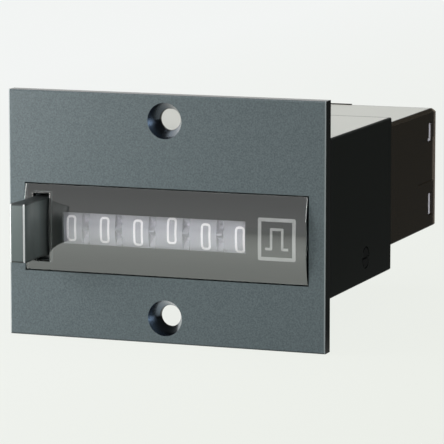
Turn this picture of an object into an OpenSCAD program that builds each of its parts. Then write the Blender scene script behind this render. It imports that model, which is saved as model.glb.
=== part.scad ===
// Panel-mounted electromagnetic pulse counter with six number wheels and a push key reset.
// Frame: X to the right along the front plate, Y into the panel, Z up.
// The origin is the centre of the plate's rear face, where the plate seats on the panel.

/* [Front plate] */
// Width of the front plate
plate_w = 81; // [78:1:96]
// Height of the front plate
plate_h = 60; // [58:1:80]
// Thickness of the front plate
plate_t = 4.8; // [4.2:0.1:6]
// Thickness of the plate's front wall over its rear pocket
plate_skin = 2.4; // [2:0.1:2.6]
// Width of the rim that seats on the panel
plate_rim = 2.4; // [1:0.1:2.5]
// Bevel round the plate's front edge
plate_front_bevel = 0.35; // [0.1:0.05:0.8]
// Bevel round the plate's rear edge
plate_rear_bevel = 1.2; // [0.3:0.1:1.5]
// Distance between the two panel screws
screw_spacing = 47.6; // [47:0.1:50]
// Bore of each panel screw hole
screw_bore = 5.2; // [4.2:0.1:5.4]
// Widest diameter of each countersink
countersink_d = 8.7; // [7:0.1:9]
// Depth of each countersink's cone
countersink_depth = 4; // [2:0.1:4]
// Outside diameter of the boss round each screw hole
screw_boss_d = 8.4; // [8:0.1:8.5]
// Number of stiffening ribs above and below the housing, on each side of a boss
plate_ribs = 2; // [1:1:4]
// Thickness of each stiffening rib
plate_rib_t = 1.2; // [0.8:0.1:2]

/* [Window] */
// How far the window's ends stand in from the sides of the housing
window_in = 0.5; // [0.4:0.05:0.9]
// Height of the window lens
window_h = 21.1; // [20:0.1:24]
// Height of the window's centre above the plate's centre
window_z = -3.25; // [-3.6:0.05:-2.8]
// Gap between the lens and the edge of its cut-out
window_gap = 0.25; // [0.15:0.05:0.5]
// How far the lens bulges past the plate's front face
window_bulge = 1.5; // [0.8:0.1:2.5]
// Thickness of the mask plate behind the lens
mask_t = 0.8; // [0.5:0.1:1]
// Width of the mask's flange past the lens
mask_flange = 1; // [0.5:0.1:1.2]
// Height of the digit opening in the mask
digit_opening_h = 7.5; // [7:0.1:9]
// Width of the digit opening past the first digit's centre
digit_opening_left = 1.9; // [1.6:0.1:2.4]
// Width of the digit opening past the last digit's centre
digit_opening_right = 1.8; // [1.6:0.1:2.4]

/* [Reset key] */
// Thickness of the reset key
key_t = 3.9; // [3.4:0.1:4]
// Height of the key's blade
key_h = 14.1; // [13.6:0.1:14.6]
// Height of the blade's middle above the window's centre
key_rise = 0.4; // [0:0.1:0.7]
// How far the key stands out of the plate
key_reach = 15; // [13:0.5:20]
// Gap between the key and the left side plate
key_plate_gap = 0.25; // [0.2:0.01:0.4]
// Distance between the key and the printed rim beside it
key_rim_gap = 1.6; // [1.6:0.05:2.4]
// Gap between the key and each side of its slot
key_gap = 0.2; // [0.15:0.05:0.4]
// Height of the key's slot in the window
key_slot_h = 16.5; // [15.6:0.1:17]
// Full travel of the key
key_travel = 12; // [8:0.5:12]
// Bevel of the key's front edges
key_bevel = 0.45; // [0.2:0.05:0.8]
// Depth of the finger dish in the key's side
key_dish = 0.35; // [0.1:0.05:0.6]

/* [Front housing] */
// Gap between the cradle rod and the floor of the front housing
rod_floor_gap = 1.3; // [1.1:0.05:2]
// Depth of the front housing behind the panel face
housing_d = 58.6; // [56:0.2:64]
// Wall of the front housing
housing_wall = 1.6; // [1.4:0.05:1.65]
// Thickness of each light top plate
top_plate_t = 0.6; // [0.4:0.05:0.8]
// Width of the housing's edge beside its top plate
top_plate_edge = 0.5; // [0.3:0.1:1.5]
// Distance of the housing screws from the housing's rear face
housing_screw_back = 20.4; // [18:0.1:22]
// Distance of the housing screws below the axis of the number wheels
housing_screw_drop = 10.1; // [9:0.1:10.5]
// Head diameter of the housing screws
housing_screw_d = 5.4; // [4:0.1:6]

/* [Rear housing] */
// How far the rear housing's sides stand in from those of the front housing
rear_step = 0.75; // [0.65:0.05:0.9]
// Height of the rear housing's top above the plate's centre
rear_top = 17.6; // [17.2:0.1:18]
// Height of the rear housing's underside above the plate's centre
rear_bottom = -13.6; // [-14.5:0.1:-13.4]
// Depth of the whole counter behind the panel face
rear_end = 100; // [98:0.5:104]
// Wall of the rear housing
rear_wall = 0.9; // [0.7:0.05:0.95]
// Thickness of the rear housing's end wall
rear_end_wall = 1.4; // [1:0.1:2]
// Radius of the rear housing's upper rear edge
rear_round = 1.2; // [1:0.1:2]
// Width of the latch windows
latch_w = 3; // [2:0.1:3.6]
// Depth of the shallow side panel, from the rear end
side_panel_d = 15.4; // [14:0.2:17]
// Edge left between the shallow side panel and the rear end
side_panel_edge = 1.2; // [0.8:0.1:2]
// Distance of the latch windows' middle from the rear end
latch_back = 4.6; // [3.6:0.1:5]
// Heights of the lower and upper end of the upper latch window
latch_upper = [9, 14.2];
// Heights of the lower and upper end of the lower latch window
latch_lower = [-10.5, -4.4];

/* [Chassis] */
// Thickness of the chassis sheets
sheet_t = 0.8; // [0.6:0.05:0.9]
// Gap between the chassis and the housing wall
chassis_gap = 0.15; // [0.1:0.05:0.3]
// Diameter of the tie bars
tie_bar_d = 3; // [2:0.1:3.2]
// Diameter of the cradle rod
cradle_rod_d = 2.5; // [2:0.1:2.8]

/* [Number wheels] */
// Number of number wheels
wheels = 6; // [6:1:6]
// Distance from one wheel to the next
wheel_pitch = 8.68; // [8.5:0.02:8.7]
// Room right of the last digit's centre for the star, the lever and its spring
drive_room = 15.6; // [15.4:0.1:16.4]
// Radius of the printed rims
wheel_r = 12.75; // [12.4:0.05:12.9]
// Wall of the printed rims
rim_wall = 1.1; // [0.8:0.05:1.3]
// Gap between neighbouring wheels
wheel_gap = 0.33; // [0.3:0.01:0.4]
// How far the rim reaches to the left of its digit's centre
rim_left = 3.45; // [3.2:0.05:3.5]
// Width of the toothed rings
gear_w = 1.4; // [1.3:0.05:1.7]
// Width of the carry rings
carry_w = 0.8; // [0.7:0.05:1.05]
// Gap between the mask and the printed rims
rim_front_gap = 0.35; // [0.3:0.05:0.8]
// Radius of the wheels' hubs
hub_r = 2.6; // [2.2:0.1:3]

/* [Transfer] */
// Teeth of each wheel's toothed ring
ring_teeth = 20; // [20:1:20]
// Teeth of each transfer pinion
pinion_teeth = 8; // [8:1:8]
// Pressure angle of all the toothing
pressure_angle = 28; // [28:0.5:29]
// Backlash of the toothed rings and pinions
backlash = 0.2; // [0.15:0.01:0.3]
// Diameter of the pinions' shaft
pinion_shaft_d = 2; // [1.6:0.1:2.4]
// Distance of the pinions' shaft from the cradle rod
cradle_arm = 12; // [11.8:0.1:12.2]
// Angle through which the key swings the cradle
cradle_swing = 12; // [11:0.5:13]
// Distance of the cradle's cam pin in front of the cradle rod
cam_pin_front = 8; // [7.6:0.1:8.4]
// Height of the cradle's cam pin above the cradle rod
cam_pin_up = 4.2; // [4:0.1:4.6]
// Diameter of the cradle's cam pin
cam_pin_d = 1.8; // [1.4:0.1:2]

/* [Reset shaft] */
// Diameter of the wheel shaft
shaft_d = 2.5; // [2.4:0.02:2.56]
// Module of the rack and of the shaft's teeth
rack_module = 0.4; // [0.4:0.005:0.41]
// Teeth cut in the end of the wheel shaft
shaft_teeth = 9; // [9:1:9]
// Backlash of the rack
rack_backlash = 0.08; // [0.05:0.01:0.12]

/* [Electromagnet] */
// Height of the coil's axis above the plate's centre
coil_z = 2; // [1.6:0.1:2.3]
// Diameter of the magnet core
core_d = 8; // [7:0.1:9]
// Diameter of the core's pole shoe
pole_d = 11; // [10:0.1:12]
// Outside diameter of the winding
winding_d = 20.4; // [18:0.1:20.8]
// Length of the winding
winding_len = 36.4; // [32:0.1:37]
// Thickness of the yoke
yoke_t = 2; // [1.6:0.1:2.1]
// Width of the yoke and of the armature
yoke_w = 22; // [20:0.1:24]
// Thickness of the armature
armature_t = 2; // [1.6:0.1:2.2]
// Depth of the armature's hinge behind the panel face
hinge_y = 45.1; // [44.6:0.1:45.6]
// Angle through which the coil pulls the armature
armature_swing = 3; // [2:0.1:3.1]
// Diameter of the armature's hinge pin
hinge_pin_d = 2; // [1.6:0.1:2.2]
// Air gap between armature and pole shoe
air_gap = 1.3; // [1.25:0.05:1.5]

/* [Escapement] */
// Radius of the units wheel's star
star_r = 8; // [7.4:0.1:8.2]
// Teeth of the star
star_teeth = 10; // [10:1:10]
// Thickness of the star
star_t = 1.6; // [1.2:0.1:1.8]
// Thickness of the drive lever
lever_t = 1.2; // [1:0.1:1.4]
// Distance of the drive lever right of the last digit's centre
lever_right = 6.5; // [6.3:0.1:7]

/* [Terminals] */
// Width of the terminal block
terminal_w = 46; // [42:1:52]
// Height of the terminal block
terminal_h = 20; // [18:0.5:22]
// Distance between the two terminals
terminal_pitch = 30; // [28:0.5:31]
// Width of each terminal pocket
pocket_w = 11; // [9:0.5:12]
// Height of each terminal pocket
pocket_h = 12; // [10:0.5:13]

/* [Fits] */
// Radial clearance of everything that turns
running = 0.05; // [0.03:0.01:0.08]
// Clearance between pieces that move past each other
clear = 0.3; // [0.3:0.02:0.36]
// Gap between fixed pieces that slip together
slip = 0.1; // [0.05:0.01:0.15]

/* [Hidden] */
$fn = 64;
cut = 0.5; // how far a cutter passes the face that it opens
edge = 0.3; // bevel of the housings' long edges

// Depths of the front pieces
front_y = -plate_t;
pocket_y = front_y + plate_skin;
mask_front_y = pocket_y - mask_t;
axis_y = pocket_y + rim_front_gap + wheel_r;
axis_z = window_z;
window_arc_r = (window_h * window_h / 4 + window_bulge * window_bulge) / (2 * window_bulge);

// Widths, from the row of wheels outwards
rim_w = wheel_pitch - gear_w - carry_w - wheel_gap;
side_room = housing_wall + chassis_gap + sheet_t;
key_room = key_plate_gap + key_t + key_rim_gap + rim_left;
housing_w = 2 * side_room + key_room + (wheels - 1) * wheel_pitch + drive_room;
window_w = housing_w - 2 * window_in;
rear_w = housing_w - 2 * rear_step;
units_x = housing_w / 2 - side_room - drive_room;

// Height of the front housing, whose floor lies below the cradle rod
housing_h = 2 * (cradle_arm - axis_z + cradle_rod_d / 2 + rod_floor_gap + housing_wall);

// Housings and chassis
inner_x = housing_w / 2 - housing_wall;
inner_z = housing_h / 2 - housing_wall;
side_out = inner_x - chassis_gap;
side_in = side_out - sheet_t;
rear_in_x = rear_w / 2 - rear_wall;
rear_in_top = rear_top - rear_wall - top_plate_t;
rear_in_bottom = rear_bottom + rear_wall;
tie_z = inner_z - tie_bar_d / 2 - 0.7;
tie_bar_places = [[1.5, -tie_z], [6, tie_z], [40, tie_z], [40, -tie_z]];
spigot_r = tie_bar_d / 3;
bush_r = shaft_d / 2 + 1.5;
housing_shank_r = 1.2;
tongue_out = 0.6;

// Toothing
ring_module = (wheel_r - 0.2) / (ring_teeth / 2 + 1);
centre_distance = ring_module * (ring_teeth + pinion_teeth) / 2;
ring_tip_r = ring_module * (ring_teeth / 2 + 1);
pinion_tip_r = ring_module * (pinion_teeth / 2 + 1);
rod_y = axis_y + centre_distance;
rod_z = axis_z - cradle_arm;
rack_pitch_r = rack_module * shaft_teeth / 2;
shaft_tip_r = rack_pitch_r + rack_module;
rack_pitch = PI * rack_module;

// Wheels
left_x = units_x - (wheels - 1) * wheel_pitch;
ring_hole_r = ring_tip_r - 2.25 * ring_module - 1.1;
web_t = 1;
pawl_eye = 7;
pawl_t = 0.8;
pawl_peg_r = 0.7;
star_x = units_x + lever_right + lever_t / 2;
star_hub_r = hub_r + 0.6;
star_hub_end = star_x + star_t / 2 + 0.2;

// Key, rack slot and cam slot
key_x = -side_in + key_plate_gap + key_t / 2;
key_z = axis_z + key_rise;
key_front = front_y - key_reach;
key_top = key_z + key_h / 2;
key_bottom = key_z - key_h / 2;
rack_slot_front = axis_y - key_travel - shaft_tip_r - clear;
rack_slot_rear = axis_y + shaft_tip_r + clear;
rack_slot_top = axis_z + rack_pitch_r + 1.25 * rack_module;
rack_slot_bottom = axis_z - shaft_tip_r - clear;
cam_slot_r = cam_pin_d / 2 + slip + running;
cam_start = [rod_y - cam_pin_front, rod_z + cam_pin_up];
cam_end = [
    rod_y - cam_pin_front * cos(cradle_swing) + cam_pin_up * sin(cradle_swing) - key_travel,
    rod_z + cam_pin_front * sin(cradle_swing) + cam_pin_up * cos(cradle_swing)
];
cam_wall = 1.3;
key_rear = cam_start[0] + cam_slot_r + cam_wall;
lobe_bottom = cam_start[1] - cam_slot_r - cam_wall;
lobe_front = pocket_y + clear;
spring_seat_y = housing_d - housing_wall - 2 * sheet_t;

// Cradle
cradle_left = key_x + key_t / 2 + clear + slip;
cradle_right = units_x + rim_w - rim_left + clear + sheet_t;
cradle_web_y = rod_y + pinion_tip_r + 2 * clear;
cradle_eye_r = cradle_rod_d / 2 + sheet_t;
cradle_web_bottom = rod_z + 3.3;
cradle_web_top = axis_z + 5;
pinion_left = rim_w - rim_left + 2 * slip;
pinion_hub_r = centre_distance - wheel_r - clear;

// Electromagnet
armature_front = hinge_y - armature_t / 2;
armature_back = hinge_y + armature_t / 2;
pole_y = armature_back + air_gap;
pole_t = 1.5;
flange_t = 1.2;
winding_y = pole_y + pole_t + flange_t;
yoke_back_y = winding_y + winding_len + flange_t;
bridge_y = yoke_back_y + yoke_t;
leg_gap = winding_d / 2 + 0.8;
leg_out = leg_gap + yoke_t;
hinge_z = coil_z - leg_out - 0.9;
knuckle_r = hinge_pin_d / 2 + 1;
ear_t = 2;

// Escapement
lever_x = units_x + lever_right;
star_tip_lift = (hinge_y - axis_y) * sin(armature_swing);
fork_in_r = star_r + star_tip_lift + 0.9;
fork_out_r = fork_in_r + 2.6;
spring_pin_z = axis_z - 2;
spring_pin_d = 1.6;
spring_x = lever_x + lever_t + 2;

// Terminals
block_front = bridge_y + sheet_t + slip;
pocket_floor = rear_end - 5.5;
terminal_screw_z = coil_z + 2.6;
terminal_screw_r = 1.2;
terminal_plate_t = 1;
core_nut_t = 2.4;
tail_w = 4;

// A block between two corners
module block(low, high) {
    translate(low) cube(high - low);
}

// Pushes a drawing of Y and Z along X
module along_x(x, length) {
    translate([x, 0, 0]) rotate([90, 0, 90]) linear_extrude(length) children();
}

// Pushes a drawing of X and Z along Y
module along_y(y, length) {
    translate([0, y + length, 0]) rotate([90, 0, 0]) linear_extrude(length) children();
}

// A round bar along X, centred on y and z
module bar_x(x, length, y, z, r) {
    translate([x, y, z]) rotate([0, 90, 0]) cylinder(h = length, r = r);
}

// A round bar along Y, centred on x and z
module bar_y(y, length, x, z, r) {
    translate([x, y, z]) rotate([-90, 0, 0]) cylinder(h = length, r = r);
}

// A rectangle with its four corners bevelled
module bevelled(low, high, b) {
    polygon([
        [low[0] + b, low[1]], [high[0] - b, low[1]], [high[0], low[1] + b], [high[0], high[1] - b],
        [high[0] - b, high[1]], [low[0] + b, high[1]], [low[0], high[1] - b], [low[0], low[1] + b]
    ]);
}

// A straight slot with round ends from a to b
module slot_shape(a, b, r) {
    d = b - a;
    way = atan2(d[1], d[0]);
    polygon([
        for (k = [0:24]) a + polar(r, way + 90 + k * 7.5),
        for (k = [0:24]) b + polar(r, way - 90 + k * 7.5)
    ]);
}

// Involute tooth form: half the angle that a tooth spans at radius r
function involute(a) = tan(a) - a * PI / 180;
function half_tooth(r, pitch_r, teeth, play) =
    (PI / (2 * teeth) - play / (4 * pitch_r) + involute(pressure_angle)
        - involute(acos(min(1, pitch_r * cos(pressure_angle) / r)))) * 180 / PI;
function polar(r, a) = [r * cos(a), r * sin(a)];

// Outline of an involute spur gear, with a tooth centred on the first axis
module gear_shape(mod, teeth, play) {
    pitch_r = mod * teeth / 2;
    base_r = pitch_r * cos(pressure_angle);
    root_r = pitch_r - 1.25 * mod;
    tip_r = pitch_r + mod;
    foot_r = max(root_r, base_r);
    steps = 4;
    radii = [for (k = [0:steps]) foot_r + (tip_r - foot_r) * k / steps];
    foot = half_tooth(foot_r, pitch_r, teeth, play);
    polygon([for (i = [0:teeth - 1]) each [
        polar(root_r, i * 360 / teeth - foot),
        for (r = radii) polar(r, i * 360 / teeth - half_tooth(r, pitch_r, teeth, play)),
        for (k = [steps:-1:0]) polar(radii[k], i * 360 / teeth + half_tooth(radii[k], pitch_r, teeth, play)),
        polar(root_r, i * 360 / teeth + foot)
    ]]);
}

// A round spring wire wound along Z, with its ends drawn in to the middle or ground flat
function coil_point(t, turns, r, length, drawn_in) =
    let (a = 360 * turns * t, e = min(1, min(t, 1 - t) * turns * 2), rr = drawn_in ? r * e : r)
    [rr * cos(a), rr * sin(a), length * t];
module coil_wire(r, wire, turns, length, drawn_in) {
    sides = 6;
    rings = round(turns * 12);
    centre = [for (k = [0:rings]) coil_point(k / rings, turns, r, length, drawn_in)];
    points = [for (k = [0:rings]) let (
        before = centre[max(0, k - 1)],
        after = centre[min(rings, k + 1)],
        way = (after - before) / norm(after - before),
        out = wire / 2 * cross(way, [0, 0, 1]) / norm(cross(way, [0, 0, 1])),
        up = cross(out, way)
    ) for (s = [0:sides - 1]) centre[k] + out * cos(s * 360 / sides) + up * sin(s * 360 / sides)];
    faces = concat(
        [[for (s = [sides - 1:-1:0]) s]],
        [for (k = [0:rings - 1]) for (s = [0:sides - 1]) [
            k * sides + s, k * sides + (s + 1) % sides,
            (k + 1) * sides + (s + 1) % sides, (k + 1) * sides + s
        ]],
        [[for (s = [0:sides - 1]) rings * sides + s]]
    );
    polyhedron(points, faces);
}

// The two panel screw places
module at_screws() {
    for (side = [-1, 1]) translate([0, 0, side * screw_spacing / 2]) children();
}

// Front plate: moulded bezel with a pocketed rear, ribs and two countersunk screw bosses
function plate_outline(half) = let (f = plate_front_bevel, r = plate_rear_bevel) [
    [front_y, -half + f], [front_y + f, -half], [-r, -half], [0, -half + r],
    [0, half - r], [-r, half], [front_y + f, half], [front_y, half - f]
];

module plate_blank() {
    intersection() {
        along_x(-plate_w / 2, plate_w) polygon(plate_outline(plate_h / 2));
        translate([0, 0, -plate_h / 2]) linear_extrude(plate_h)
            polygon([for (p = plate_outline(plate_w / 2)) [p[1], p[0]]]);
    }
}

module plate_ribs_and_bosses() {
    reach = plate_h / 2 - housing_h / 2 - slip;
    step = (plate_w / 2 - plate_rim) / (plate_ribs + 1);
    at_screws() bar_y(pocket_y - cut, -pocket_y + 2 * cut, 0, 0, screw_boss_d / 2);
    for (side = [-1, 1]) for (k = [1:plate_ribs]) for (way = [-1, 1])
        translate([
            side * k * step - plate_rib_t / 2, pocket_y - cut,
            way > 0 ? housing_h / 2 + slip : -plate_h / 2
        ]) cube([plate_rib_t, -pocket_y + 2 * cut, reach]);
    for (side = [-1, 1]) for (way = [-1, 1])
        translate([
            side > 0 ? housing_w / 2 + slip : -plate_w / 2, pocket_y - cut,
            way * housing_h / 4 - plate_rib_t / 2
        ]) cube([plate_w / 2 - housing_w / 2 - slip, -pocket_y + 2 * cut, plate_rib_t]);
}

module front_plate() {
    open_w = window_w + 2 * window_gap;
    open_h = window_h + 2 * window_gap;
    seat_w = window_w + 2 * mask_flange + 2 * slip;
    seat_h = window_h + 2 * mask_flange + 2 * slip;
    color("#5c686b") difference() {
        plate_blank();
        translate([-open_w / 2, front_y - cut, axis_z - open_h / 2])
            cube([open_w, plate_t + 2 * cut, open_h]);
        translate([-seat_w / 2, mask_front_y, axis_z - seat_h / 2]) cube([seat_w, plate_t, seat_h]);
        difference() {
            block(
                [-plate_w / 2 + plate_rim, pocket_y, -plate_h / 2 + plate_rim],
                [plate_w / 2 - plate_rim, cut, plate_h / 2 - plate_rim]
            );
            plate_ribs_and_bosses();
        }
        at_screws() {
            bar_y(front_y - cut, plate_t + 2 * cut, 0, 0, screw_bore / 2);
            translate([0, front_y, 0]) rotate([-90, 0, 0])
                cylinder(h = countersink_depth, d1 = countersink_d, d2 = screw_bore);
        }
    }
}

// Slot for the key, through the lens and the mask
module key_slot_cutter() {
    w = key_t + 2 * key_gap;
    translate([key_x - w / 2, front_y - window_bulge - cut, axis_z - key_slot_h / 2])
        cube([w, plate_t + window_bulge + 2 * cut, key_slot_h]);
}

// Window lens: clear moulding, flat behind and crowned in front
module window_lens() {
    color("#c9d6d9", 0.5) difference() {
        along_x(-window_w / 2, window_w) intersection() {
            translate([front_y - window_bulge + window_arc_r, axis_z]) circle(window_arc_r, $fn = 180);
            translate([front_y - window_bulge - cut, axis_z - window_h / 2])
                square([mask_front_y - front_y + window_bulge + cut, window_h]);
        }
        key_slot_cutter();
    }
}

// Mask: dark plate behind the lens, with the digit opening and a flange that the plate holds
module window_mask() {
    flange_w = window_w + 2 * mask_flange;
    flange_h = window_h + 2 * mask_flange;
    open_left = left_x - digit_opening_left;
    open_right = units_x + digit_opening_right;
    color("#2b2f2e") difference() {
        translate([-flange_w / 2, mask_front_y, axis_z - flange_h / 2]) cube([flange_w, mask_t, flange_h]);
        translate([open_left, mask_front_y - cut, axis_z - digit_opening_h / 2])
            cube([open_right - open_left, mask_t + 2 * cut, digit_opening_h]);
        key_slot_cutter();
    }
}

// Reset key: one flat moulding with a blade, a rack slot round the wheel shaft and a cam slot
module key_outline() {
    b = key_bevel;
    spigot_h = 1.6;
    spigot_l = 4;
    tooth = rack_pitch / 4 - rack_backlash / 2;
    lean = tan(pressure_angle);
    foot = tooth + 1.25 * rack_module * lean;
    pitch_z = axis_z + rack_pitch_r;
    first = ceil((rack_slot_front - axis_y) / rack_pitch + 0.1);
    last = floor((rack_slot_rear - axis_y) / rack_pitch - 1.1);
    difference() {
        union() {
            polygon([
                [key_front + b, key_bottom], [lobe_front, key_bottom], [lobe_front, lobe_bottom],
                [key_rear, lobe_bottom], [key_rear, key_top - 4 * b], [key_rear - 4 * b, key_top],
                [key_front + b, key_top], [key_front, key_top - b], [key_front, key_bottom + b]
            ]);
            translate([key_rear - cut, axis_z - spigot_h / 2]) square([spigot_l + cut, spigot_h]);
        }
        difference() {
            translate([rack_slot_front, rack_slot_bottom])
                square([rack_slot_rear - rack_slot_front, rack_slot_top - rack_slot_bottom]);
            for (k = [first:last]) translate([axis_y + (k + 0.5) * rack_pitch, 0]) polygon([
                [-foot, pitch_z + 1.25 * rack_module], [-tooth + rack_module * lean, pitch_z - rack_module],
                [tooth - rack_module * lean, pitch_z - rack_module], [foot, pitch_z + 1.25 * rack_module],
                [foot, rack_slot_top + cut], [-foot, rack_slot_top + cut]
            ]);
        }
        slot_shape(cam_start, cam_end, cam_slot_r);
    }
}

module reset_key() {
    dish_l = key_reach * 0.62;
    dish_r = (dish_l * dish_l / 4 + key_dish * key_dish) / (2 * key_dish);
    spigot_t = 1.6;
    b = key_bevel;
    color("#3b4342") difference() {
        intersection() {
            along_x(key_x - key_t / 2, key_t) key_outline();
            translate([key_x, 0, lobe_bottom - cut]) linear_extrude(key_top - lobe_bottom + 1) polygon([
                [-key_t / 2, key_front + b], [-key_t / 2 + b, key_front],
                [key_t / 2 - b, key_front], [key_t / 2, key_front + b], [key_t / 2, key_rear],
                [spigot_t / 2, key_rear], [spigot_t / 2, key_rear + key_reach],
                [-spigot_t / 2, key_rear + key_reach], [-spigot_t / 2, key_rear], [-key_t / 2, key_rear]
            ]);
        }
        for (side = [-1, 1])
            translate([
                key_x + side * (key_t / 2 + dish_r - key_dish),
                key_front + 0.56 * key_reach, key_bottom - cut
            ]) cylinder(h = key_h + 2 * cut, r = dish_r, $fn = 180);
    }
}

// Return spring of the key, between its tail and the seat bent from the left side plate
module key_spring() {
    wire = 0.4;
    gap = wire / 2 + slip / 2;
    color("#b9bcbd") translate([key_x, key_rear + gap, axis_z]) rotate([-90, 0, 0])
        coil_wire((key_t - 0.5 - wire) / 2, wire, 14, spring_seat_y - key_rear - 2 * gap, false);
}

// Front housing: black moulded shell that passes through the panel
module front_housing() {
    recess = housing_w / 2 - top_plate_edge;
    screw_y = housing_d - housing_screw_back;
    screw_z = axis_z - housing_screw_drop;
    color("#1d211f") difference() {
        along_y(pocket_y, housing_d - pocket_y)
            bevelled([-housing_w / 2, -housing_h / 2], [housing_w / 2, housing_h / 2], edge);
        block([-inner_x, pocket_y - cut, -inner_z], [inner_x, housing_d - housing_wall, inner_z]);
        block(
            [-rear_in_x, housing_d - 2 * housing_wall, rear_in_bottom],
            [rear_in_x, housing_d + cut, rear_in_top]
        );
        block(
            [-recess, top_plate_edge, housing_h / 2 - top_plate_t],
            [recess, housing_d - top_plate_edge, housing_h / 2 + cut]
        );
        for (side = [-1, 1]) {
            bar_x(
                side > 0 ? inner_x - cut : -housing_w / 2 - cut, housing_wall + 2 * cut,
                screw_y, screw_z, housing_shank_r + clear
            );
            bar_x(side > 0 ? housing_w / 2 - 0.9 : -housing_w / 2 - cut, 0.9 + cut,
                screw_y, screw_z, housing_screw_d / 2 + slip);
        }
    }
}

// Light plate let into the top of the front housing
module front_top_plate() {
    x = housing_w / 2 - top_plate_edge - slip;
    color("#c6c9c4") block(
        [-x, top_plate_edge + slip, housing_h / 2 - top_plate_t],
        [x, housing_d - top_plate_edge - slip, housing_h / 2]
    );
}

// Rear housing: glossy black hood with a rounded upper rear edge and four latch windows
module rear_profile(low_y, high_y, low_z, high_z, round) {
    difference() {
        polygon([
            [low_y, low_z], [high_y - edge, low_z], [high_y, low_z + edge],
            [high_y, high_z], [low_y, high_z]
        ]);
        difference() {
            translate([high_y - round, high_z - round]) square(round + cut);
            translate([high_y - round, high_z - round]) circle(round);
        }
    }
}

module latch_windows() {
    mid = rear_end - latch_back;
    for (side = [-1, 1]) for (span = [latch_upper, latch_lower])
        translate([side > 0 ? rear_in_x - cut : -rear_w / 2 - cut, mid - latch_w / 2, span[0]])
            cube([rear_wall + 2 * cut, latch_w, span[1] - span[0]]);
}

module rear_housing() {
    shoulder = 0.9;
    rim = top_plate_edge + 2 * edge;
    panel_depth = 0.25;
    panel_y = rear_end - side_panel_d;
    panel_low = latch_lower[1] + 3;
    panel_high = latch_upper[0] + 1.2;
    rib_end = 13;
    color("#1f1b17") {
        difference() {
            intersection() {
                along_x(-rear_w / 2, rear_w)
                    rear_profile(housing_d, rear_end, rear_bottom, rear_top, rear_round);
                along_y(housing_d, rear_end - housing_d) polygon([
                    [-rear_w / 2, rear_bottom + edge], [-rear_w / 2 + edge, rear_bottom],
                    [rear_w / 2 - edge, rear_bottom], [rear_w / 2, rear_bottom + edge],
                    [rear_w / 2, rear_top - shoulder], [rear_w / 2 - shoulder, rear_top],
                    [-rear_w / 2 + shoulder, rear_top], [-rear_w / 2, rear_top - shoulder]
                ]);
            }
            block(
                [-rear_in_x, housing_d - cut, rear_in_bottom],
                [rear_in_x, rear_end - rear_end_wall, rear_in_top]
            );
            block(
                [-terminal_w / 2 - slip, rear_end - rear_end_wall - cut, coil_z - terminal_h / 2 - slip],
                [terminal_w / 2 + slip, rear_end + cut, coil_z + terminal_h / 2 + slip]
            );
            block(
                [-rear_w / 2 + rim, housing_d + edge, rear_top - top_plate_t],
                [rear_w / 2 - rim, rear_end - rear_round - edge, rear_top + cut]
            );
            latch_windows();
            for (side = [-1, 1]) translate([side * rear_w / 2 - panel_depth, panel_y, panel_low])
                cube([2 * panel_depth, side_panel_d - side_panel_edge, panel_high - panel_low]);
        }
        block(
            [-rear_w / 2 + rim, rear_end - rear_round - edge, rear_top - edge],
            [rib_end, rear_end - rear_round, rear_top + edge]
        );
    }
}

// Light plate let into the top of the rear housing
module rear_top_plate() {
    x = rear_w / 2 - top_plate_edge - 2 * edge - slip;
    color("#c6c9c4") block(
        [-x, housing_d + edge + slip, rear_top - top_plate_t],
        [x, rear_end - rear_round - edge - slip, rear_top]
    );
}

// Slotted screws that hold the chassis in the front housing
module housing_screws() {
    head_t = 0.9;
    rim = 0.3;
    head_r = housing_screw_d / 2;
    head_x = housing_w / 2 - head_t;
    y = housing_d - housing_screw_back;
    z = axis_z - housing_screw_drop;
    color("#2c2f2e") for (side = [-1, 1]) difference() {
        union() {
            bar_x(side > 0 ? head_x : -head_x - head_t + rim, head_t - rim, y, z, head_r);
            translate([side * (head_x + head_t - rim), y, z]) rotate([0, side * 90, 0])
                cylinder(h = rim, r1 = head_r, r2 = head_r - rim);
            bar_x(side > 0 ? side_in : -housing_w / 2 + rim, housing_w / 2 - rim - side_in,
                y, z, housing_shank_r);
        }
        translate([side * housing_w / 2, y, z])
            cube([head_t, housing_screw_d + cut, 0.6], center = true);
    }
}

// Side plates: stamped sheets that carry every shaft, with tongues that snap into the latch windows
module side_outline() {
    front = pocket_y + clear;
    tall = inner_z - 2 * clear;
    step_y = housing_d - housing_wall - 2 * clear;
    rear = rear_end - rear_end_wall - clear;
    low = rear_in_bottom + clear;
    high = rear_in_top - clear;
    difference() {
        polygon([
            [front, -tall], [step_y, -tall], [step_y, low], [rear, low],
            [rear, high], [step_y, high], [step_y, tall], [front, tall]
        ]);
        translate([axis_y, axis_z]) circle(bush_r - 0.6);
        translate([rod_y, rod_z]) circle(cradle_rod_d / 2);
        for (p = tie_bar_places) translate(p) circle(spigot_r);
        translate([housing_d - housing_screw_back, axis_z - housing_screw_drop]) circle(housing_shank_r);
        slot_shape([housing_d + 8, coil_z], [bridge_y - 10, coil_z], 5);
    }
}

module side_plate(side) {
    color("#b7bcc0") {
        along_x(side > 0 ? side_in : -side_out, sheet_t) side_outline();
        for (span = [latch_upper, latch_lower])
            translate([
                side > 0 ? side_out - cut : -side_out - tongue_out,
                rear_end - latch_back - latch_w / 2 + clear, span[0] + clear
            ]) cube([tongue_out + cut, latch_w - 2 * clear, span[1] - span[0] - 2 * clear]);
    }
}

module left_side_plate() {
    seat_w = key_t + chassis_gap;
    seat_h = 5.4;
    side_plate(-1);
    color("#b7bcc0") translate([-side_in - cut / 2, spring_seat_y, axis_z - seat_h / 2])
        cube([seat_w + cut / 2, sheet_t, seat_h]);
}

module right_side_plate() {
    side_plate(1);
}

// Tie bars between the side plates, with riveted ends
module tie_bars() {
    color("#9fa4a6") for (p = tie_bar_places) {
        bar_x(-side_in, 2 * side_in, p[0], p[1], tie_bar_d / 2);
        bar_x(-side_out, 2 * side_out, p[0], p[1], spigot_r);
    }
}

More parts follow.
